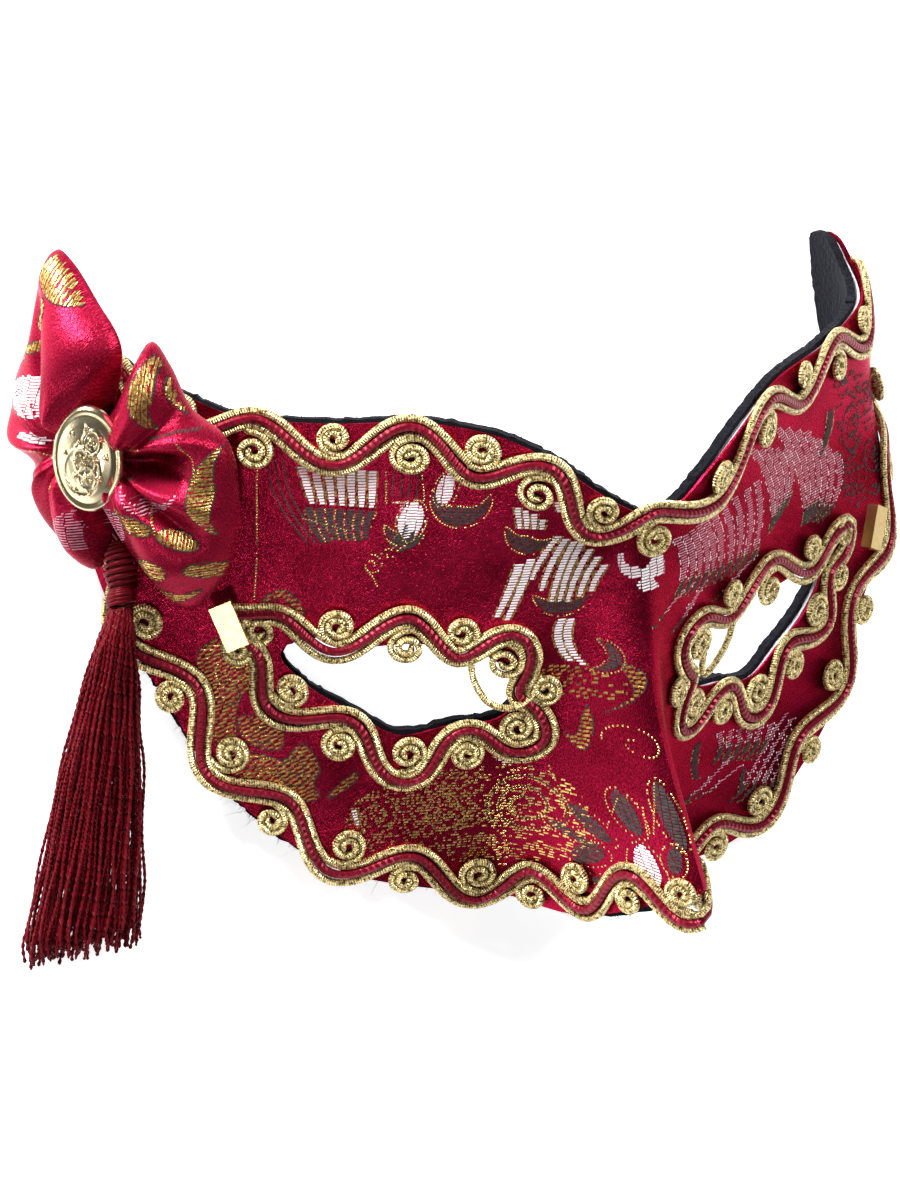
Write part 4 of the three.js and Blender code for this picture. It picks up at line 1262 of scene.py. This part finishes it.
bow_floats("gold", filled_both(share=0.85, length=1.15) + on_bow(dotted, BOW_GOLD_LINES))
bow_floats("olive", filled_both(length=1.6, pitch=CLOUD_ROW))
bow_floats("silver", on_bow(filled_floats, BOW_SILVER))
bow_floats("rose", on_bow(filled_floats, BOW_ROSE))
bow_floats("black", on_bow(dotted, BOW_BLACK_LINES) + on_bow(rimmed, BOW_UPRIGHT)
           + on_bow(rimmed, BOW_LEVEL))

# The button: a domed oval stamped from sheet brass and gilt, with a rolled rim, blossoms and
# rings in low relief. It sits on the pinch of the bow.
# Its profile: distance from the middle as a share of its half width, and height
BUTTON_HALF = (6.8, 10.3)
BUTTON_SEAT = 6.5
BUTTON_PROFILE = [(0.0, 0.0), (0.9, 0.0), (0.985, 0.35), (1.0, 0.8), (0.985, 1.4), (0.94, 1.95),
                  (0.9, 2.05), (0.86, 1.9), (0.83, 1.75), (0.7, 2.3), (0.5, 2.8), (0.25, 3.1), (0.0, 3.2)]
# Blossoms on the dome: middle and size as shares of its half width, petals and turn
BUTTON_FLOWERS = [(0, 0.02, 0.2, 5, 0.4), (0.16, 0.36, 0.16, 5, 1), (-0.2, 0.3, 0.13, 3, 2),
                  (0.3, 0.05, 0.11, 4, 0), (-0.3, 0.02, 0.12, 3, 4), (0.05, -0.3, 0.15, 5, 2),
                  (0.36, -0.28, 0.12, 3, 1), (-0.28, -0.28, 0.1, 4, 3), (0, 0.62, 0.1, 3, 0),
                  (0.42, 0.42, 0.09, 4, 2), (-0.42, 0.5, 0.1, 3, 1), (0.1, -0.58, 0.1, 3, 5),
                  (-0.3, -0.56, 0.09, 4, 1), (0.56, 0.1, 0.08, 3, 3), (-0.58, 0.12, 0.08, 3, 2)]
BUTTON_RINGS = [(0.16, 0.36, 0.24), (0, 0.02, 0.3), (0.05, -0.3, 0.24), (-0.1, -0.2, 0.5)]
FLOWER_RISE = 0.42
FLOWER_EDGE = 0.035
RING_RISE = 0.26
RING_WIDTH = 0.028
BUTTON_STEPS = (110, 220)
BUTTON_SPREAD = 7
button_bm = bmesh.new()
button_bm.loops.layers.uv.new("cloth")
button_verts, u, v = new_grid(button_bm, *BUTTON_STEPS)
reach = way_along(np.array(BUTTON_PROFILE) * [BUTTON_SPREAD, 1])
radius, height = read_off(u * reach[-1], reach, BUTTON_PROFILE).T
angle = 2 * np.pi * v
across, upward = radius * np.cos(angle), radius * np.sin(angle)
for x, y, size, petals, way in BUTTON_FLOWERS:
    off = np.hypot(across - x, (upward - y) * 1.3)
    petal = np.arctan2(upward - y, across - x)
    shape = size * (0.72 + 0.28 * np.cos(petals * petal + way))
    height = height + FLOWER_RISE * smooth_step((shape - off) / FLOWER_EDGE) * (off > size * 0.16)
for x, y, size in BUTTON_RINGS:
    off = np.abs(np.hypot(across - x, (upward - y) * 1.1) - size)
    height = height + RING_RISE * np.exp(-(off / RING_WIDTH) ** 2)
placed = bow_place(across * BUTTON_HALF[0], upward * BUTTON_HALF[1], BUTTON_SEAT + height, "right")
for vert, place in zip(button_verts, lay_down(placed)):
    vert.co = place
merge_seams(button_bm, SOLID_SEAM)
button_gilt = speckled("button_gilt", (0.60, 0.48, 0.26, 1), (0.86, 0.76, 0.52, 1), 700.0,
                       Metallic=1.0, Roughness=0.26)[0]
new_piece("gilt_button", button_bm, button_gilt, "button")

# The tassel: burgundy rayon, with a wound head and neck, and a skirt of about 120 two-ply
# threads, which fan out as they fall and end unevenly. It hangs from behind the bow.
TASSEL_KNOT = [((-89.6, 16.7, -36.1), 2, 1.8), ((-89.6, 14.7, -35.6), 3.3, 3),
               ((-89.9, 11.1, -34.7), 3.4, 3), ((-90.1, 8.1, -34.1), 2.3, 2.1),
               ((-90.1, 6.9, -34), 2.9, 2.6), ((-90.1, 5, -33.7), 3, 2.6)]
TASSEL_SKIRT = [((-90.5, 4.3, -33.4), 2.6, 2.4), ((-91.5, 0.6, -32.5), 3.6, 3.2),
                ((-92.5, -3.4, -31.9), 4.7, 3.8), ((-94.1, -12.6, -30.6), 6.9, 4.5),
                ((-96.9, -25.1, -27.5), 9.2, 5), ((-101.1, -40.6, -21.9), 11.4, 5),
                ((-104.7, -52.4, -17.3), 12.8, 4.6), ((-106, -57.9, -15.4), 12.4, 3.8)]
THREAD_COUNT = 118
THREAD_ENDS = 0.05
THREAD_BEND = 0.5
THREAD_FLAT = 0.6
THREAD_RADIUS = 0.42
THREAD_STEPS = 140
PLY_LENGTH = 2.8
PLY_PHASE = 6.28 / 7
GOLDEN_TURN = 0.381966
HEAD_WRAPS = 14
WRAP_STEPS = 22
WRAP_RADIUS = 0.5
WRAP_INSET = 0.45
CORE_SHARE = 0.8
TABLE_WAY = np.array([0, math.sin(LYING_PITCH), math.cos(LYING_PITCH)])
rayon = speckled("burgundy_rayon", (0.035, 0.001, 0.002, 1), (0.19, 0.005, 0.012, 1), 0.8, 3.0,
                 "cord", Roughness=0.42, Specular_IOR_Level=0.25,
                 Specular_Tint=(1, 0.35, 0.4, 1))[0]


def along_stations(stations, t):
    """Middle, half width and half thickness at shares of the way down a bundle of threads,
    from stations that give them from the top down."""
    table = [(*middle, half, thick) for middle, half, thick in stations]
    read = read_off(t, np.linspace(0, 1, len(table)), table)
    return read[:, :3], read[:, 3], read[:, 4]


skirt_bm = new_cords()
for number in range(THREAD_COUNT):
    turn = 2 * np.pi * number * GOLDEN_TURN
    spread = math.sqrt((number + 0.5) / THREAD_COUNT)
    end = 1 - abs(random.normal(0, THREAD_ENDS)) - 0.03 * (spread < 0.7)
    t = np.linspace(0, end, THREAD_STEPS)
    centre, half, thick = along_stations(TASSEL_SKIRT, t)
    bend = random.normal(0, THREAD_BEND) * np.sin(np.pi * t * random.uniform(0.6, 1.4)) * t
    across = np.cos(turn) * spread * (half - THREAD_RADIUS) + bend
    wave = 2 * np.pi * (t * random.uniform(3, 6) + random.uniform(0, 1))
    across = across + random.uniform(0.15, 0.5) * np.sin(wave) * np.sqrt(t)
    stand = np.sin(turn) * spread * (thick - THREAD_RADIUS)
    across = np.clip(across, 0.4 - half, half - 0.4)
    path = centre + across[:, None] * [1, 0, 0] + stand[:, None] * TABLE_WAY
    tube(skirt_bm, path, THREAD_RADIUS, sides=5, twist=2 * np.pi / PLY_LENGTH,
         flat=THREAD_FLAT, phase=PLY_PHASE * number)
new_piece("tassel_threads", merge_seams(skirt_bm, CORD_SEAM), rayon, "tassel_skirt",
          sharp=80)

head_bm = new_cords()
t = np.linspace(0, 1, HEAD_WRAPS * WRAP_STEPS)
centre, half, thick = along_stations(TASSEL_KNOT, t)
turn = 2 * np.pi * HEAD_WRAPS * t
path = (centre + ((half - WRAP_INSET) * np.cos(turn))[:, None] * [1, 0, 0]
        + ((thick - WRAP_INSET) * np.sin(turn))[:, None] * TABLE_WAY)
tube(head_bm, path, WRAP_RADIUS, sides=6)
core = along_stations(TASSEL_KNOT, np.linspace(0, 1, 30))
tube(head_bm, core[0], core[2] * CORE_SHARE, sides=14)
new_piece("tassel_head", merge_seams(head_bm, CORD_SEAM), rayon, "tassel_knot",
          sharp=80)
